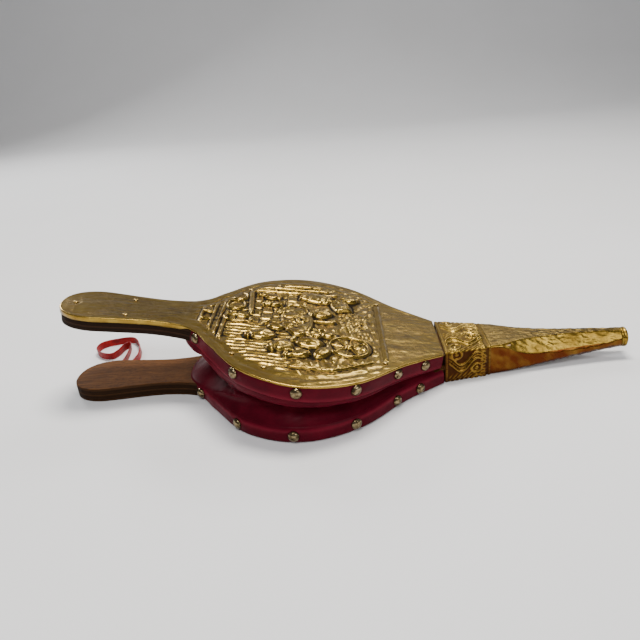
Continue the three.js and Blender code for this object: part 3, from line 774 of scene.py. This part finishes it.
def draw_panel():
    """A store-room still life: plank wall, stonework, shelf, table, barrels, sacks and a wheel."""
    art = Relief()
    up, across = art.up, art.across
    wobble = rough_noise(up / 17, across / 17, 3)

    # walls and ground
    plank = np.abs(np.sin((across + 1.6 * wobble) * math.pi / 5.4)) ** 0.6
    fence = smooth(up, 122, 128) * smooth(up, 183, 179) * smooth(across, -5, -9)
    row = (up - 2.0 * wobble) / 10.5
    stone_mark = np.abs(((across + 8.0 * (np.floor(row) % 2)) / 15.0) % 1 - 0.5)
    stone = 0.55 - 0.8 * smooth(np.maximum(stone_mark + 0.02, np.abs(row % 1 - 0.5)), 0.38, 0.47)
    stone = stone * smooth(up, 187, 184) * smooth(across, 72, 60)
    stone = stone + 0.35 * rough_noise(up / 5, across / 5, 5)
    art.height = stone + (0.8 * plank - 0.1 - stone) * fence
    ground = smooth(up, 122, 112)
    furrow = np.sin((up + 7 * value_noise(up / 30, across / 24, 8)
                     + 0.0035 * across ** 2) * math.pi / 4.2)
    hatch = rough_noise(up / 2.2, across / 7, 11)
    art.height = art.height * (1 - ground) + ground * (0.16 * furrow + 0.4 * hatch)
    tuft = smooth(np.hypot((up - 74) / 16, (across - 14) / 24), 1.0, 0.7)
    art.height += tuft * (0.9 - 1.3 * cells(up / 2.6, across / 2.6, 4)) * 0.9

    # two upright posts and beams beside the neck, and the far wall's rafters
    for at in (208, 198):
        art.bar((at, -52), (at, 56), 1.3, 0.9, 0.2, 0.4)
    for at in (-38, -24, -10, 5, 20, 36):
        art.bar((199.5, at), (206.5, at + 2), 1.6, 0.8, 0.3, 0.3)
    art.bar((187, -60), (187, 10), 1.9, 1.1, 0.3, 0.5)
    art.bar((191.5, -58), (191.5, 40), 0.9, 0.6, 0.2, 0.3)
    for k, at in enumerate((64, 72, 80, 88)):
        art.bar((178 - 6 * k, at), (88 + 8 * k, at + 5), 1.5, 1.1, 0.1, 0.4)
        art.bar((168 - 16 * k, at + 4), (148 - 17 * k, at + 4), 2.2, 0.9, 0.5, 0.3)

    # shelf with dishes
    art.bar((166, 12), (170, 62), 2.2, 1.1, 0.6, 0.6)
    art.dish(181, 26, 8, 10, 10)
    art.dish(180, 47, 7, 9, -8)
    art.jug(150, 52, 8.5, 8)
    art.jug(146, 34, 7.0, -12)
    art.hoop(176, -2, 12, 7, 1.2, 6, 0.9, 0.4)

    # round table with what stands on it
    for leg in ((98, 26), (92, 6), (102, -12)):
        art.bar((118, leg[1] * 0.8), leg, 2.3, 1.2, 0.2, 0.6)
    art.blob(124, 6, 13, 31, -6, 0.7, 0.9, 0.8)
    art.hoop(124, 6, 13, 31, 1.3, -6, 0.7, 1.2)
    art.jug(131, -8, 7.6, -14)
    art.loaf(128, 12, 6, 10, 80)
    art.dish(121, 25, 5, 8, 0)
    art.grapes(137, 22, 7.5, 21)
    art.grapes(122, 2, 6.0, 5)

    # barrels, sacks, jugs and a basket in front
    art.barrel(108, 58, 15, 11, 12)
    art.barrel(84, 44, 13, 9.5, 74)
    art.sack(152, -30, 12, -20, 2)
    art.sack(134, -46, 11.5, -42, 5)
    art.sack(112, -37, 12.5, 16, 9)
    art.sack(142, -12, 8.5, 35, 4)
    art.jug(118, -58, 8.5, -24)
    art.jug(96, -20, 8.0, 18)
    art.loaf(100, -52, 6, 11, 30)
    art.grapes(108, -22, 6.5, 11)
    art.sack(102, 22, 9.5, -15, 12)
    art.wheel(78, -38, 17)
    art.jug(74, 60, 8, -30)
    art.bar((126, -80), (92, -80), 1.5, 0.9, 0.1, 0.4)
    art.bar((92, -80), (60, -62), 1.2, 0.8, 0.1, 0.35)
    return art


def box_blur(field, reach):
    for axis in (0, 1):
        pad = [(reach + 1, reach) if k == axis else (0, 0) for k in (0, 1)]
        total = np.cumsum(np.pad(field, pad, mode="edge"), axis=axis)
        size = 2 * reach + 1
        top = np.take(total, range(size, total.shape[axis]), axis=axis)
        low = np.take(total, range(0, total.shape[axis] - size), axis=axis)
        field = (top - low) / size
    return field


def panel_fields():
    """Height in mm, darkness of the recesses and tarnish over the whole lid."""
    art = draw_panel()
    up, across = art.up, art.across
    inside = half_at(np.clip(up, -5, 329)) - np.abs(across)
    swell = np.sin(inside * math.pi / 5.5 + 2.5 * rough_noise(up / 22, across / 22, 31))
    border = 0.22 * swell * smooth(inside, 2.5, 7) + 0.5 * rough_noise(up / 11, across / 5, 14)
    front, root = PANEL_FRONT, HANDLE_ROOT
    scene = smooth(inside, 13, 21) * smooth(up, front + 1, front + 6) * smooth(up, root, root - 6)
    shimmer = 0.5 * rough_noise(up / 10, across / 10, 33)
    field = 1.5 * (art.height + shimmer) * scene
    field += border * (1 - scene) * smooth(up, front, front + 6) * smooth(up, root, root - 8)
    grit = rough_noise(up / 2.9, across / 2.9, 40)
    grit = grit * smooth(up, front, front + 6) * smooth(up, root + 1, root - 7)
    field += (0.1 + 0.24 * scene) * grit
    # the straight ridge across the panel's front end, and the step at the handle's root
    ridge = smooth(np.abs(across), 61, 57)
    field += 1.4 * ridge * bell(up - (front - 1.5) - 0.01 * across, 1.4)
    field -= 0.5 * ridge * bell(up - (front + 1.8) - 0.01 * across, 1.2)
    field += 0.35 * bell(up - root, 2.0) * smooth(inside, 1, 5)
    # dents in the plain parts
    plain = 1 - smooth(up, front - 3, front + 4) * smooth(up, root + 3, root - 5)
    field += plain * (0.45 * rough_noise(up / 24, across / 11, 50)
                      - 0.10 * smooth(cells(up / 9, across / 7, 6), 0.5, 0.1))
    for pin_back, pin_across in PLATE_PINS:
        away = np.hypot(up - pin_back, across - pin_across)
        field = field * smooth(away, 3.0, 6.5) - 0.15 * bell(away, 4.5)
    field *= smooth(inside, 0.4, 4.0)
    field = np.clip(field, -0.6, 4.2)
    field = box_blur(field, 1)
    sunk = box_blur(box_blur(field, 7), 7) - field
    crevice = box_blur(box_blur(field, 3), 3) - field
    cavity = np.clip(np.maximum(sunk / 0.5 - 0.2, crevice / 0.28 - 0.3), 0, 1)
    cavity *= smooth(up, front - 3, front + 4)
    # duller and darker over the handle but not its end, over the front plain and towards the far side
    # (positive across), in random patches
    tarnish = 0.2 + 0.8 * smooth(up, 205, 226) - 0.55 * smooth(up, 278, 312)
    tarnish += 0.6 * smooth(up, 52, 44) + 0.3 * smooth(across, -20, 75)
    patch = 0.75 + 1.1 * rough_noise(up / 26, across / 13, 77)
    tarnish = np.clip(tarnish * patch * smooth(inside, 1.0, 7.0), 0, 1)
    return field, cavity, tarnish


def sample(field, back, across):
    i = np.clip((back - PANEL_BACK[0]) / STEP, 0, len(PANEL_BACK) - 1.001)
    j = np.clip((across - PANEL_ACROSS[0]) / STEP, 0, len(PANEL_ACROSS) - 1.001)
    i0, j0 = i.astype(int), j.astype(int)
    fi, fj = i - i0, j - j0
    return ((field[i0, j0] * (1 - fj) + field[i0, j0 + 1] * fj) * (1 - fi)
            + (field[i0 + 1, j0] * (1 - fj) + field[i0 + 1, j0 + 1] * fj) * fi)


def make_plate():
    """The brass sheet: relief on top, edges turned down over leather and handle."""
    run = np.append(np.arange(run_of(-PLATE_FRONT), SIDE_RUN[-1], 0.85), SIDE_RUN[-1])
    back = side_at(run)[0]
    handle = smooth(back, 207, 220)
    reach = BODY_REACH + (HANDLE_REACH - BODY_REACH) * handle
    skirt = BODY_SKIRT + (HANDLE_SKIRT - BODY_SKIRT) * smooth(back, 212, 224)
    skirt = skirt + 0.45 * rough_noise(run / 9, run * 0 + 0.5, 61)
    spine = np.minimum(back, 302.0)
    # from the middle of the top face outwards, as (back, across, height)
    half = []
    inner_back, inner_across = edge_moved(run, reach - 0.95)
    for share in np.linspace(0, 1, 134):
        half.append((inner_back * share + spine * (1 - share), inner_across * share, None))
    rolled = [(0.85, -0.02), (0.45, -0.09), (0.18, -0.24), (0.04, -0.5), (0.0, -0.85),
              (0.0, -skirt), (0.25, -skirt - 0.12), (0.5, -skirt), (0.55, -0.66)]
    for inset, fall in rolled:
        half.append((*edge_moved(run, reach - inset), fall + 0 * run))
    columns = [(b, -a, z) for b, a, z in reversed(half)] + half[1:]
    on_top = np.array([z is None for _, _, z in columns])
    b = np.maximum(np.array([c[0] for c in columns]).T, -PLATE_FRONT)
    a = np.array([c[1] for c in columns]).T
    z = np.array([0 * run if c[2] is None else c[2] for c in columns]).T
    height, cavity, tarnish = panel_fields()
    z[:, on_top] = sample(height, b[:, on_top], a[:, on_top])
    dark = np.where(on_top, sample(cavity, b, a), 0.12)
    dull = np.where(on_top, sample(tarnish, b, a), 0.1)
    points = np.stack([-b, a, z], axis=-1)
    faces = loft_faces(*b.shape, "open")
    faces.append(tuple(range(b.shape[1])))
    look = brass_look("embossed_brass", (0.45, 0.295, 0.058), (0.01, 0.007, 0.0035),
                      (0.23, 0.22, 0.27), 0.09)
    plate = make_object("embossed_brass", lidwards(points), faces, look, points * MM,
                        {"cavity": dark, "tarnish": dull}, sharp=70)
    settle(plate, "lid", "top_plate")


# ---- nozzle

def station(x, column):
    """A measure of the sheath at x: column 1 is its half-width, 2 its top and 3 its bottom."""
    return np.interp(x, SHEATH_STATIONS[:, 0], SHEATH_STATIONS[:, column])


def middle_height(x):
    return (station(x, 2) + station(x, 3)) / 2


def sheath_section(x, count):
    """Outside of the sheath at x: points round the section, and how far round each one is."""
    half, top, bottom = (station(x, column) for column in (1, 2, 3))
    tall = (top - bottom) / 2
    girth = 4 * (half + tall)
    around = np.arange(count) / count * girth
    corners = np.array([0, 2 * tall, 2 * (tall + half), 2 * (2 * tall + half), girth])
    across = np.interp(around, corners, [half, half, -half, -half, half])
    height = np.interp(around, corners, [-tall, tall, tall, -tall, -tall])
    angle = np.arctan2(height, across)
    c, s = np.abs(np.cos(angle)), np.sin(angle)
    into, drop = (np.interp(x, FACET[:, 0], FACET[:, k]) for k in (1, 2))
    upper = (c * drop + s * into) / ((half - into) * drop + tall * into)
    under = 0.5 + 4.2 * smooth(x, 54, 150)
    lower = (c - s) / (half + tall - under)
    sharp = 40 - 28 * smooth(x, 110, 160)
    planes = [c / half, np.abs(s) / tall, np.maximum(upper, 0), np.maximum(lower, 0)]
    radius = sum(plane ** sharp for plane in planes) ** (-1 / sharp)
    across, height = radius * np.cos(angle), middle_height(x) + radius * np.sin(angle)
    return across, height, angle, around / girth


def band_pattern(x, around):
    """Raised scrolls, diamonds and notches round the sheath's wide end. around is in mm."""
    u = x - BAND_MIDDLE
    across = ((around / SCROLL_PITCH) % 1.0 - 0.5) * SCROLL_PITCH
    flip = np.where(np.floor(around / SCROLL_PITCH) % 2 == 0, 1.0, -1.0)

    def line(distance, width, tall):
        return tall * swelling(distance / width)

    bend = 5.5 * np.sin(u * 0.23 * flip + 0.6)
    marks = [line(across - bend - 3.4, 1.5, 1.15), line(across - bend + 3.4, 1.5, 1.15),
             line(across - bend, 0.8, 0.7)]
    for way in (1, -1):
        curl = np.hypot(u - 9 * way * flip, across + 9 * way)
        marks += [line(curl - 4.6, 1.2, 1.0), line(curl, 2.0, 1.2)]
    leaf = np.abs(((u + across) / 4.6) % 1 - 0.5) * 4.6
    marks.append(line(leaf, 1.1, 0.6) * smooth(np.abs(across), 9, 12))
    ladder = np.abs((around / 3.4) % 1 - 0.5) * 3.4
    marks.append(line(ladder, 1.2, 0.75) * smooth(np.abs(u - 14.5), 2.6, 1.6))
    height = np.maximum.reduce(marks)
    height = 1.2 * height * smooth(x, 6.4, 8.0) * smooth(x, 41.5, 39.5)
    for ring in BAND_RINGS:
        dot = np.hypot(x - ring, np.abs((around / 1.9) % 1 - 0.5) * 1.9)
        height = np.maximum(height, line(dot, 0.95, 0.55))
    return height


def make_sheath():
    stations = np.concatenate([np.arange(SHEATH_START, 46, 0.55), np.arange(46, SHEATH_END, 0.9),
                               [SHEATH_END]])
    count = SHEATH_COLUMNS
    rows, darks, dulls, side_reflections = [], [], [], []
    for x in stations:
        across, height, angle, turn = sheath_section(x, count)
        middle = middle_height(x)
        relief = band_pattern(np.full(count, x), turn * BAND_GIRTH)
        hammered = smooth(x, 41, 48)
        arc = (angle + math.pi / 2) % (2 * math.pi) * np.hypot(across, height - middle).mean()
        blow = cells(arc / 5.5, np.full(count, x / 6.0), 17)
        fine = rough_noise(arc / 10, np.full(count, x / 12), 23)
        pits = rough_noise(arc / 2.2, np.full(count, x / 2.6), 27)
        settled = 0.35 + 0.65 * smooth(x, 64, 100)
        dent = 0.45 * (smooth(blow, 0.05, 0.8) - 0.5) + 0.45 * fine
        push = relief + hammered * (settled * dent + 0.18 * pits)
        push = push * (1 - 0.5 * smooth(x, 140, 160))
        rows.append(np.column_stack([np.full(count, x), across + np.cos(angle) * push,
                                     np.maximum(height + np.sin(angle) * push, 0.05)]))
        run_across, run_up = np.gradient(across), np.gradient(height)
        facing_up = np.abs(run_across) / np.maximum(np.hypot(run_across, run_up), 1e-6)
        facing_up = np.where(height > middle, facing_up, 0)
        side = smooth(facing_up, 0.45, 0.25)
        # painted reflection: the upright sides get a reddish tone as if mirroring an orange mat
        # below, less on the raised pattern
        red = 0.95 + 0.5 * fine - 0.5 * np.clip(relief / 0.8, 0, 1)
        side_reflections.append(np.clip(side * red, 0, 1))
        recess = 0.62 * (1 - np.clip(relief / 0.7, 0, 1)) + 0.03
        darks.append(np.where(x < BAND_RINGS[1] + 1.1, recess, 0.05))
        facet = smooth(facing_up, 0.2, 0.4) * smooth(facing_up, 0.92, 0.75) * hammered
        # darker and duller on the flat top faces, a little on the hammered facets, a little less on
        # the sides
        dulls.append(np.clip(0.25 + 0.4 * fine * hammered - 0.1 * side
                             + 0.75 * smooth(facing_up, 0.88, 0.96) * hammered
                             + 0.1 * facet, 0, 1))
    outer = np.array(rows)
    middle = outer.mean(axis=1, keepdims=True)
    narrowest = np.linalg.norm(outer - middle, axis=2).min(axis=1, keepdims=True)[:, :, None]
    inner = middle + (outer - middle) * (1 - SHEATH_WALL / narrowest)
    inner[:, :, 0] = outer[:, :, 0]
    inner = inner[::-1][::6]
    inner[0, :, 0], inner[-1, :, 0] = SHEATH_END - 0.05, SHEATH_START
    points = np.concatenate([outer, inner])
    # the inside takes a flat 0.6 of the recess darkening, the tarnish and the painted reddish
    # reflection
    extra = np.zeros((len(inner), count)) + 0.6
    look = brass_look("hammered_brass", (0.4, 0.262, 0.046), (0.03, 0.014, 0.005),
                      (0.19, 0.185, 0.23), 0.14)
    sheath = make_object("hammered_sheath", basewards(points), loft_faces(
        len(points), count, "joined"), look, points * MM,
        {"cavity": np.concatenate([darks, extra]), "tarnish": np.concatenate([dulls, extra]),
         "mat_reflection": np.concatenate([side_reflections, extra])},
        sharp=70)
    settle(sheath, "base", "nozzle_sheath")
    return look


def make_collar(look):
    """A rolled ring at the tip."""
    bore = TUBE_OUTER + 0.3
    profile = [(0.3, bore), (0.3, 7.6), (0.5, 8.1), (1.0, 8.5), (1.4, 8.55), (1.9, 8.2),
               (2.3, 8.05), (2.8, 8.4), (3.6, 8.75), (4.6, 8.8), (5.2, 8.5), (5.7, 7.7),
               (6.0, 6.8), (5.95, 6.2), (5.6, bore)]
    points = turned_points(profile, 72)
    turn = np.arange(72) * 2 * math.pi / 72
    points[1:-1, :, :2] *= (1 + 0.012 * rough_noise(turn * 2.4, turn * 0, 3))[None, :, None]
    points = points[:, :, [2, 0, 1]] + [SHEATH_END, 0, middle_height(SHEATH_END)]
    extra = np.zeros(points.shape[:2])
    along = np.arange(len(profile))[:, None]
    worn = np.clip(0.15 + 1.1 * rough_noise(turn[None, :] * 3.5, along / 4.0, 8), 0, 0.85)
    collar = make_object("rolled_collar", basewards(points), loft_faces(len(points), 72, "joined"),
                         look, points * MM, {"cavity": extra + worn, "tarnish": extra + 0.3})
    settle(collar, "base", "nozzle_collar")


# ---- leather

def nail_pull(run, height, places, nail_height):
    """How near each point is to a nail, and the puckers that run out from it."""
    near = np.zeros(np.broadcast(run, height).shape)
    pucker = np.zeros_like(near)
    for number, back in enumerate(places):
        du, dv = run - run_of(back), height - nail_height
        distance = np.hypot(du, dv)
        near = np.maximum(near, bell(distance, 5.2))
        ray = np.cos(5 * np.arctan2(dv, du) + number)
        pucker += 0.16 * ray * bell(distance - 7.5, 3.2)
    return near, pucker


def make_band(name, node, side, profile, places, nail_height, crest, placing, body, look):
    """The leather strip along one edge of a board. profile: (offset, height) round the strip."""
    run = np.arange(run_of(BAND_START), run_of(BAND_END), 1.1)
    columns, edge_highlight = [], []
    for offset, height in profile:
        near, pucker = nail_pull(run, height, places, nail_height)
        face = smooth(offset, 1.2, 1.7)
        swell = 0.35 * (1 - ((height - nail_height) / 6.5) ** 2)
        wave = 0.22 * rough_noise(run / 16, run * 0 + height / 9, 71)
        move = offset + face * (np.maximum(swell, 0) + wave + pucker - 0.75 * near)
        back, across = edge_moved(run, move)
        # painted highlight along the band's rounded edge at the crest height, uneven with the wave
        edge_highlight.append((0.42 + wave) * bell(height - crest, 1.5) * face)
        columns.append(np.stack([-back, side * across, np.full_like(run, height) + 0.3 * wave],
                                axis=-1))
    points = np.stack(columns, axis=1)
    place = np.stack([np.broadcast_to(run[:, None], points.shape[:2]), points[:, :, 2],
                      points[:, :, 1] * 0.2], axis=-1)
    band = make_object(name, placing(points), loft_faces(*points.shape[:2]), look, place * MM,
                       {"edge_highlight": np.clip(np.stack(edge_highlight, axis=1), 0, 1)})
    settle(band, body, node)


def make_bands(look):
    upper = [(1.15, -13.2), (0.75, -14.1), (1.2, -14.05), (1.75, -13.6), (2.1, -12.6),
             (2.2, -11), (2.2, -9.4), (2.2, -7.8), (2.2, -6.4), (2.2, -5), (2.15, -3.6),
             (2.05, -2.2), (1.8, -1.3), (1.15, -1.25)]
    lower = [(1.15, 1.0), (1.7, 0.9), (2.05, 1.2), (2.15, 2.2), (2.2, 3.8), (2.2, 5.2),
             (2.2, 6.6), (2.2, 7.8), (2.15, 9.0), (2.0, 10.2), (1.7, 11.3), (1.25, 12.2),
             (0.75, 12.9), (0.1, 13.45), (-0.2, 13.3), (1.15, 12.0)]
    for side, hand in ((1, "left"), (-1, "right")):
        make_band(f"upper_leather_{hand}", f"skin_band_upper_{hand}", side, upper, UPPER_NAILS,
                  -UPPER_NAIL_DEPTH, -12.4, lidwards, "lid", look)
        make_band(f"lower_leather_{hand}", f"skin_band_lower_{hand}", side, lower, LOWER_NAILS,
                  LOWER_NAIL_HEIGHT, 10.4, basewards, "base", look)


def fold_path():
    """The folded skin's line in plan, from the front left round the neck to the front right."""
    run = np.arange(run_of(FOLD_START), run_of(FOLD_CORNER), 1.5)
    back, across = edge_moved(run, FOLD_OFFSET)
    corner = np.array([[back[-1], across[-1]], [FOLD_CROSSING - 1.5, across[-1] - 10],
                       [FOLD_CROSSING, 7]])
    t = np.linspace(0, 1, 18)[1:, None]
    round_corner = ((1 - t) ** 2 * corner[0] + 2 * t * (1 - t) * corner[1] + t ** 2 * corner[2])
    straight = np.column_stack([np.full(5, FOLD_CROSSING), np.linspace(7, 0, 6)[1:]])
    half = np.vstack([np.column_stack([back, across]), round_corner, straight])
    return np.vstack([half, (half * [1, -1])[-2::-1]])


def make_fold(look):
    """The leather between the boards, folded inwards, with a flange tucked behind each band."""
    path = fold_path()
    run = lengths_along(path)
    middle = run[-1] / 2
    ahead = directions(path)
    inward = np.column_stack([ahead[:, 1], -ahead[:, 0]])     # as (back, across)
    away = middle - np.abs(run - middle)                      # along from the nearest front end
    corner_run = run_of(FOLD_CORNER) - run_of(FOLD_START)
    count = len(path)
    flat = np.zeros(count)

    def along_path(placing, height):
        return placing(np.column_stack([-path[:, 0], path[:, 1], flat + height])) / MM

    low = along_path(basewards, BOARD_THICKNESS + 0.2)
    high = along_path(lidwards, LID_UNDERSIDE - 0.1)
    into = np.column_stack([-inward[:, 0], inward[:, 1], flat])
    lid_up = np.array(LID_PLACE.to_3x3() @ Vector((0, 0, 1)))
    gap = high[:, 2] - low[:, 2]
    around = smooth(away, corner_run - 6, corner_run + 16)
    ratio = (FOLD_SIDE_RATIO + (FOLD_REAR_RATIO - FOLD_SIDE_RATIO) * around)

    def skin_row(share, shift):
        near = share / CREASE if share < CREASE else (1 - share) / (1 - CREASE)
        leaf = max(1 - math.hypot(1 - near, 0.09), 0) ** (0.85 if share < CREASE else 3.0)
        rise = (share - KNUCKLE) / (1 - KNUCKLE if share > KNUCKLE else -KNUCKLE)
        line = RIDGE_FRONT + (RIDGE_BACK - RIDGE_FRONT) * math.hypot(rise, 0.12)
        ridge = away - (run_of(line) - run_of(FOLD_START))
        taut = 1 - 0.8 * np.exp(-np.hypot(ridge, 2) / np.where(ridge < 0, 24, 10))
        wrinkle = rough_noise(away / 26 + 3 * share, flat + share * 2.2, 91)
        crease = rough_noise(away / 7 + 2.5 * share, flat + share * 1.3, 95)
        slack = np.sin(share * math.pi) * smooth(gap, 4, 22)
        move = ratio * gap * leaf * taut + slack * (2.2 * wrinkle + 0.7 * crease) + shift
        return low + (high - low) * share + into * move[:, None]

    shares = np.linspace(0, 1, 60)
    outer = [low + [0, 0, -FLANGE], low + [0, 0, -2.0]]
    outer += [skin_row(v, 0) for v in shares]
    outer += [high + lid_up * 2.0, high + lid_up * FLANGE]
    inner = [high + lid_up * FLANGE + into * 0.7, high + lid_up * 2.0 + into * 0.7]
    inner += [skin_row(v, 0.75 + 0.5 * math.sin(v * math.pi)) for v in np.linspace(1, 0, 18)]
    inner += [low + [0, 0, -2.0] + into * 0.7, low + [0, 0, -FLANGE] + into * 0.7]
    loops = np.stack(outer + inner, axis=1)
    rows = np.concatenate([np.linspace(0, 1, len(outer)), np.linspace(1, 0, len(inner))])
    place = np.stack([np.broadcast_to(run[:, None], loops.shape[:2]),
                      rows[None, :] * 60 + flat[:, None], flat[:, None] + 0 * rows], axis=-1)
    fold = make_object("folded_leather", loops * MM, loft_faces(*loops.shape[:2]), look,
                       place * MM, sharp=80)
    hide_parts("skin_fold")
    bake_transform(fold)


def make_hinge(look):
    """The leather strip that hinges the lid to the head block."""
    tilt = np.array(LID_PLACE.to_3x3())
    bend = np.array([HINGE_X + 0.5, 0, HINGE_HEIGHT])
    front = np.array([[HINGE_X + x, 0, HINGE_HEIGHT] for x in np.linspace(19.5, 3, 8)])
    back = np.array([bend + tilt @ np.array([-x, 0, 0]) for x in np.linspace(2.5, 16.2, 8)])
    line = np.vstack([front, bend[None, :] + [0.8, 0, 0.02], bend[None, :] - [0.9, 0, 0], back])
    half = HINGE_LEATHER / 2
    wide = HINGE_HALF_WIDTH
    section = both_halves([(-wide, -half * 0.6), (0.5 - wide, -half), (0, -half),
                           (wide - 0.5, -half), (wide, -half * 0.6)])
    ahead = directions(line)
    up = np.column_stack([-ahead[:, 2], 0 * ahead[:, 0], ahead[:, 0]])
    up *= np.sign(up[:, 2:])
    points = np.array([[p + u * z + [0, y, 0] for y, z in section] for p, u in zip(line, up)])
    strip = make_object("hinge_strip", points * MM, loft_faces(*points.shape[:2]), look)
    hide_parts("hinge_leather")
    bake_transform(strip)


# ---- boards

def board_mesh(name, front, levels, placing, look):
    """levels: (inset, height) from the underside to the top."""
    run = np.append(np.arange(run_of(-min(front, 5.9)), SIDE_RUN[-1], 1.4), SIDE_RUN[-1])
    loops = []
    for inset, height in levels:
        back, across = edge_moved(run, -inset)
        back = np.maximum(back, inset - front)
        half = np.column_stack([-back, across, np.full_like(run, height)])
        loops.append(np.vstack([half, (half * [1, -1, 1])[-2::-1]]))
    return make_loft(name, np.array(loops), placing, look)


def cut_solid(obj, cutter, operation="DIFFERENCE"):
    """Cuts or joins another closed mesh, and removes it."""
    modifier = obj.modifiers.new("cut", "BOOLEAN")
    modifier.operation = operation
    modifier.solver = "EXACT"
    modifier.object = cutter
    graph = bpy.context.evaluated_depsgraph_get()
    mesh = bpy.data.meshes.new_from_object(obj.evaluated_get(graph))
    obj.modifiers.clear()
    obj.data = mesh
    bpy.data.objects.remove(cutter)


def block(name, low, high, placing, look, grow=0.0):
    """A box between two corners; grow widens its low-x end."""
    (x0, y0, z0), (x1, y1, z1) = low, high
    ring = [(x0, y0 * (1 + grow)), (x1, y0), (x1, y1), (x0, y1 * (1 + grow))]
    corners = np.array([[(x, y, z) for x, y in ring] for z in (z0, z1)])
    return make_loft(name, corners, placing, look)


def make_boards():
    top_look = ply_look("dark_walnut_ply", (0.042, 0.018, 0.009), (0.054, 0.025, 0.0125), 0.5)
    low_look = ply_look("walnut_ply", (0.14, 0.057, 0.018), (0.054, 0.025, 0.0115), 0.55)
    t = BOARD_THICKNESS
    levels = [(1.0, 0), (0.45, 0.08), (0.12, 0.35), (0, 0.9), (0, t - 0.9), (0.12, t - 0.35),
              (0.45, t - 0.08), (1.0, t)]
    lid_levels = [(inset, LID_UNDERSIDE + height) for inset, height in levels]
    top = board_mesh("lid_board", LID_FRONT, lid_levels, lidwards, top_look)
    hinge_drop = LID_HEIGHT - LID_FRONT * math.sin(LID_TILT) - HINGE_HEIGHT
    kerf_height = -hinge_drop / math.cos(LID_TILT)
    depth, wide, tall = KERF
    cut_solid(top, block("kerf", (depth, -wide, kerf_height - tall),
                         (LID_FRONT + 1.6, wide, kerf_height + tall), lidwards, top_look))
    settle(top, "lid", "top_board")

    low = board_mesh("base_board", BASE_FRONT, levels, basewards, low_look)
    start, wide, under = TONGUE
    cut_solid(low, block("tongue", (start, -wide, under), (TONGUE_END, wide, t), basewards,
                         low_look, TONGUE_SPREAD), "UNION")
    wide = AIRWAY_HALF_WIDTH
    cut_solid(low, block("groove", (AIRWAY_START, -wide, AIRWAY_FLOOR),
                         (TONGUE_END + 1, wide, t + 1), basewards, low_look))
    profile = [(-0.5, VALVE_RADIUS + 1.0), (0.6, VALVE_RADIUS), (t + 1, VALVE_RADIUS)]
    hole = turned_points(profile, 64) + [VALVE_X, 0, 0]
    cut_solid(low, make_loft("hole", hole, basewards, low_look))
    settle(low, "base", "bottom_board")


# ---- nails and pins

def make_nail(name, node, seat, out, size, body, look, seed):
    """A domed head, worn and slightly out of round. seat and out are in the row frame, in mm."""
    radius, dome = size
    angles = np.linspace(0, math.pi / 2, 9)[1:-1]
    profile = [(0.0, radius * 0.9), (0.1, radius * 0.98), (0.35, radius)]
    profile += [(0.35 + (dome - 0.35) * math.sin(a), radius * math.cos(a) ** 0.9) for a in angles]
    profile += [(dome, 0.12)]
    points = turned_points(profile, 30)
    x, y = points[:, :, 0], points[:, :, 1]
    worn = rough_noise(x / 2.2 + seed * 3.7, y / 2.2, seed)
    points[:, :, 2] += np.where(points[:, :, 2] > 0.4, 0.22 * worn, 0)
    points[:, :, :2] *= (1 + 0.035 * rough_noise(x / 5 + seed, y / 5, seed + 5))[:, :, None]
    turn = Vector(out).to_track_quat("Z", "Y").to_matrix()
    placed_points = points @ np.array(turn).T + np.asarray(seat)
    nail = make_object(name, placed_points * MM, loft_faces(len(profile), 30), look,
                       (points + [seed * 7.0, 0, 0]) * MM)
    settle(nail, body, node)


def make_nails():
    look = nail_look()
    seed = 0
    rows = (("upper", UPPER_NAILS, -UPPER_NAIL_DEPTH, LID_PLACE, "lid"),
            ("lower", LOWER_NAILS, LOWER_NAIL_HEIGHT, BASE_PLACE, "base"))
    for level, places, height, placing, body in rows:
        for side, hand in ((1, "left"), (-1, "right")):
            for number, back in enumerate(places, 1):
                run = run_of(back)
                _, _, out_x, out_y = side_at(run)
                reach = NAIL_REACH + (NECK_NAIL_LIFT if back > NECK_START else 0)
                b, a = edge_moved(run, reach)
                seat = placed([-float(b[0]), side * float(a[0]), height], placing) / MM
                out = placing.to_3x3() @ Vector((float(out_x[0]), side * float(out_y[0]), 0))
                seed += 1
                make_nail(f"domed_nail_{level}_{hand}_{number}", f"nail_{level}_{hand}_{number}",
                          seat, out, NAIL_SIZE, body, look, seed)
    pin_look = plain_pin_look()
    for number, (back, across) in enumerate(PLATE_PINS, 1):
        seat = placed([-back, across, -0.05], LID_PLACE) / MM
        make_nail(f"brass_pin_{number}", f"plate_pin_{number}", seat,
                  LID_PLACE.to_3x3() @ Vector((0, 0, 1)), PIN_SIZE, "lid",
                  pin_look, 40 + number)


# ---- pieces kept from the frame

def finish_inner_pieces(leather):
    """The valve, head block, air tube and tacks keep their solids and get their finishes."""
    wood = plain_look("plain_wood", (0.3, 0.17, 0.08), (0.52, 0.33, 0.17), 3, 0.6, 0.0, 0.3,
                      (9, 80, 80))
    steel = plain_look("blued_steel", (0.2, 0.2, 0.21), (0.46, 0.46, 0.47), 160, 0.35, 1.0)
    for node in ("head_block", "valve_stiffener"):
        finish_node(node, wood)
    for node in ("valve_flap", "valve_tail", "valve_strap"):
        finish_node(node, leather)
    tacks = [f"{held}_tack_{k}" for held in ("valve_tail", "valve_strap", "loop") for k in (1, 2)]
    for node in ("nozzle_tube", *tacks):
        finish_node(node, steel)


def finish_node(name, material):
    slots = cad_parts[name].data.materials
    slots.clear()
    slots.append(material)


# ---- putting it together

make_camera()
make_ribbon()
make_floor()
make_light()
make_plate()
make_collar(make_sheath())
burgundy = leather_look("burgundy_leather", (0.042, 0.0018, 0.0058), (0.088, 0.0036, 0.0105),
                        rough=0.36, coat=0.02)
make_bands(burgundy)
make_fold(burgundy)
inner = plain_look("inner_leather", (0.26, 0.13, 0.06), (0.42, 0.24, 0.12), 220, 0.75, 0.0, 0.4)
make_hinge(inner)
make_boards()
make_nails()
finish_inner_pieces(inner)
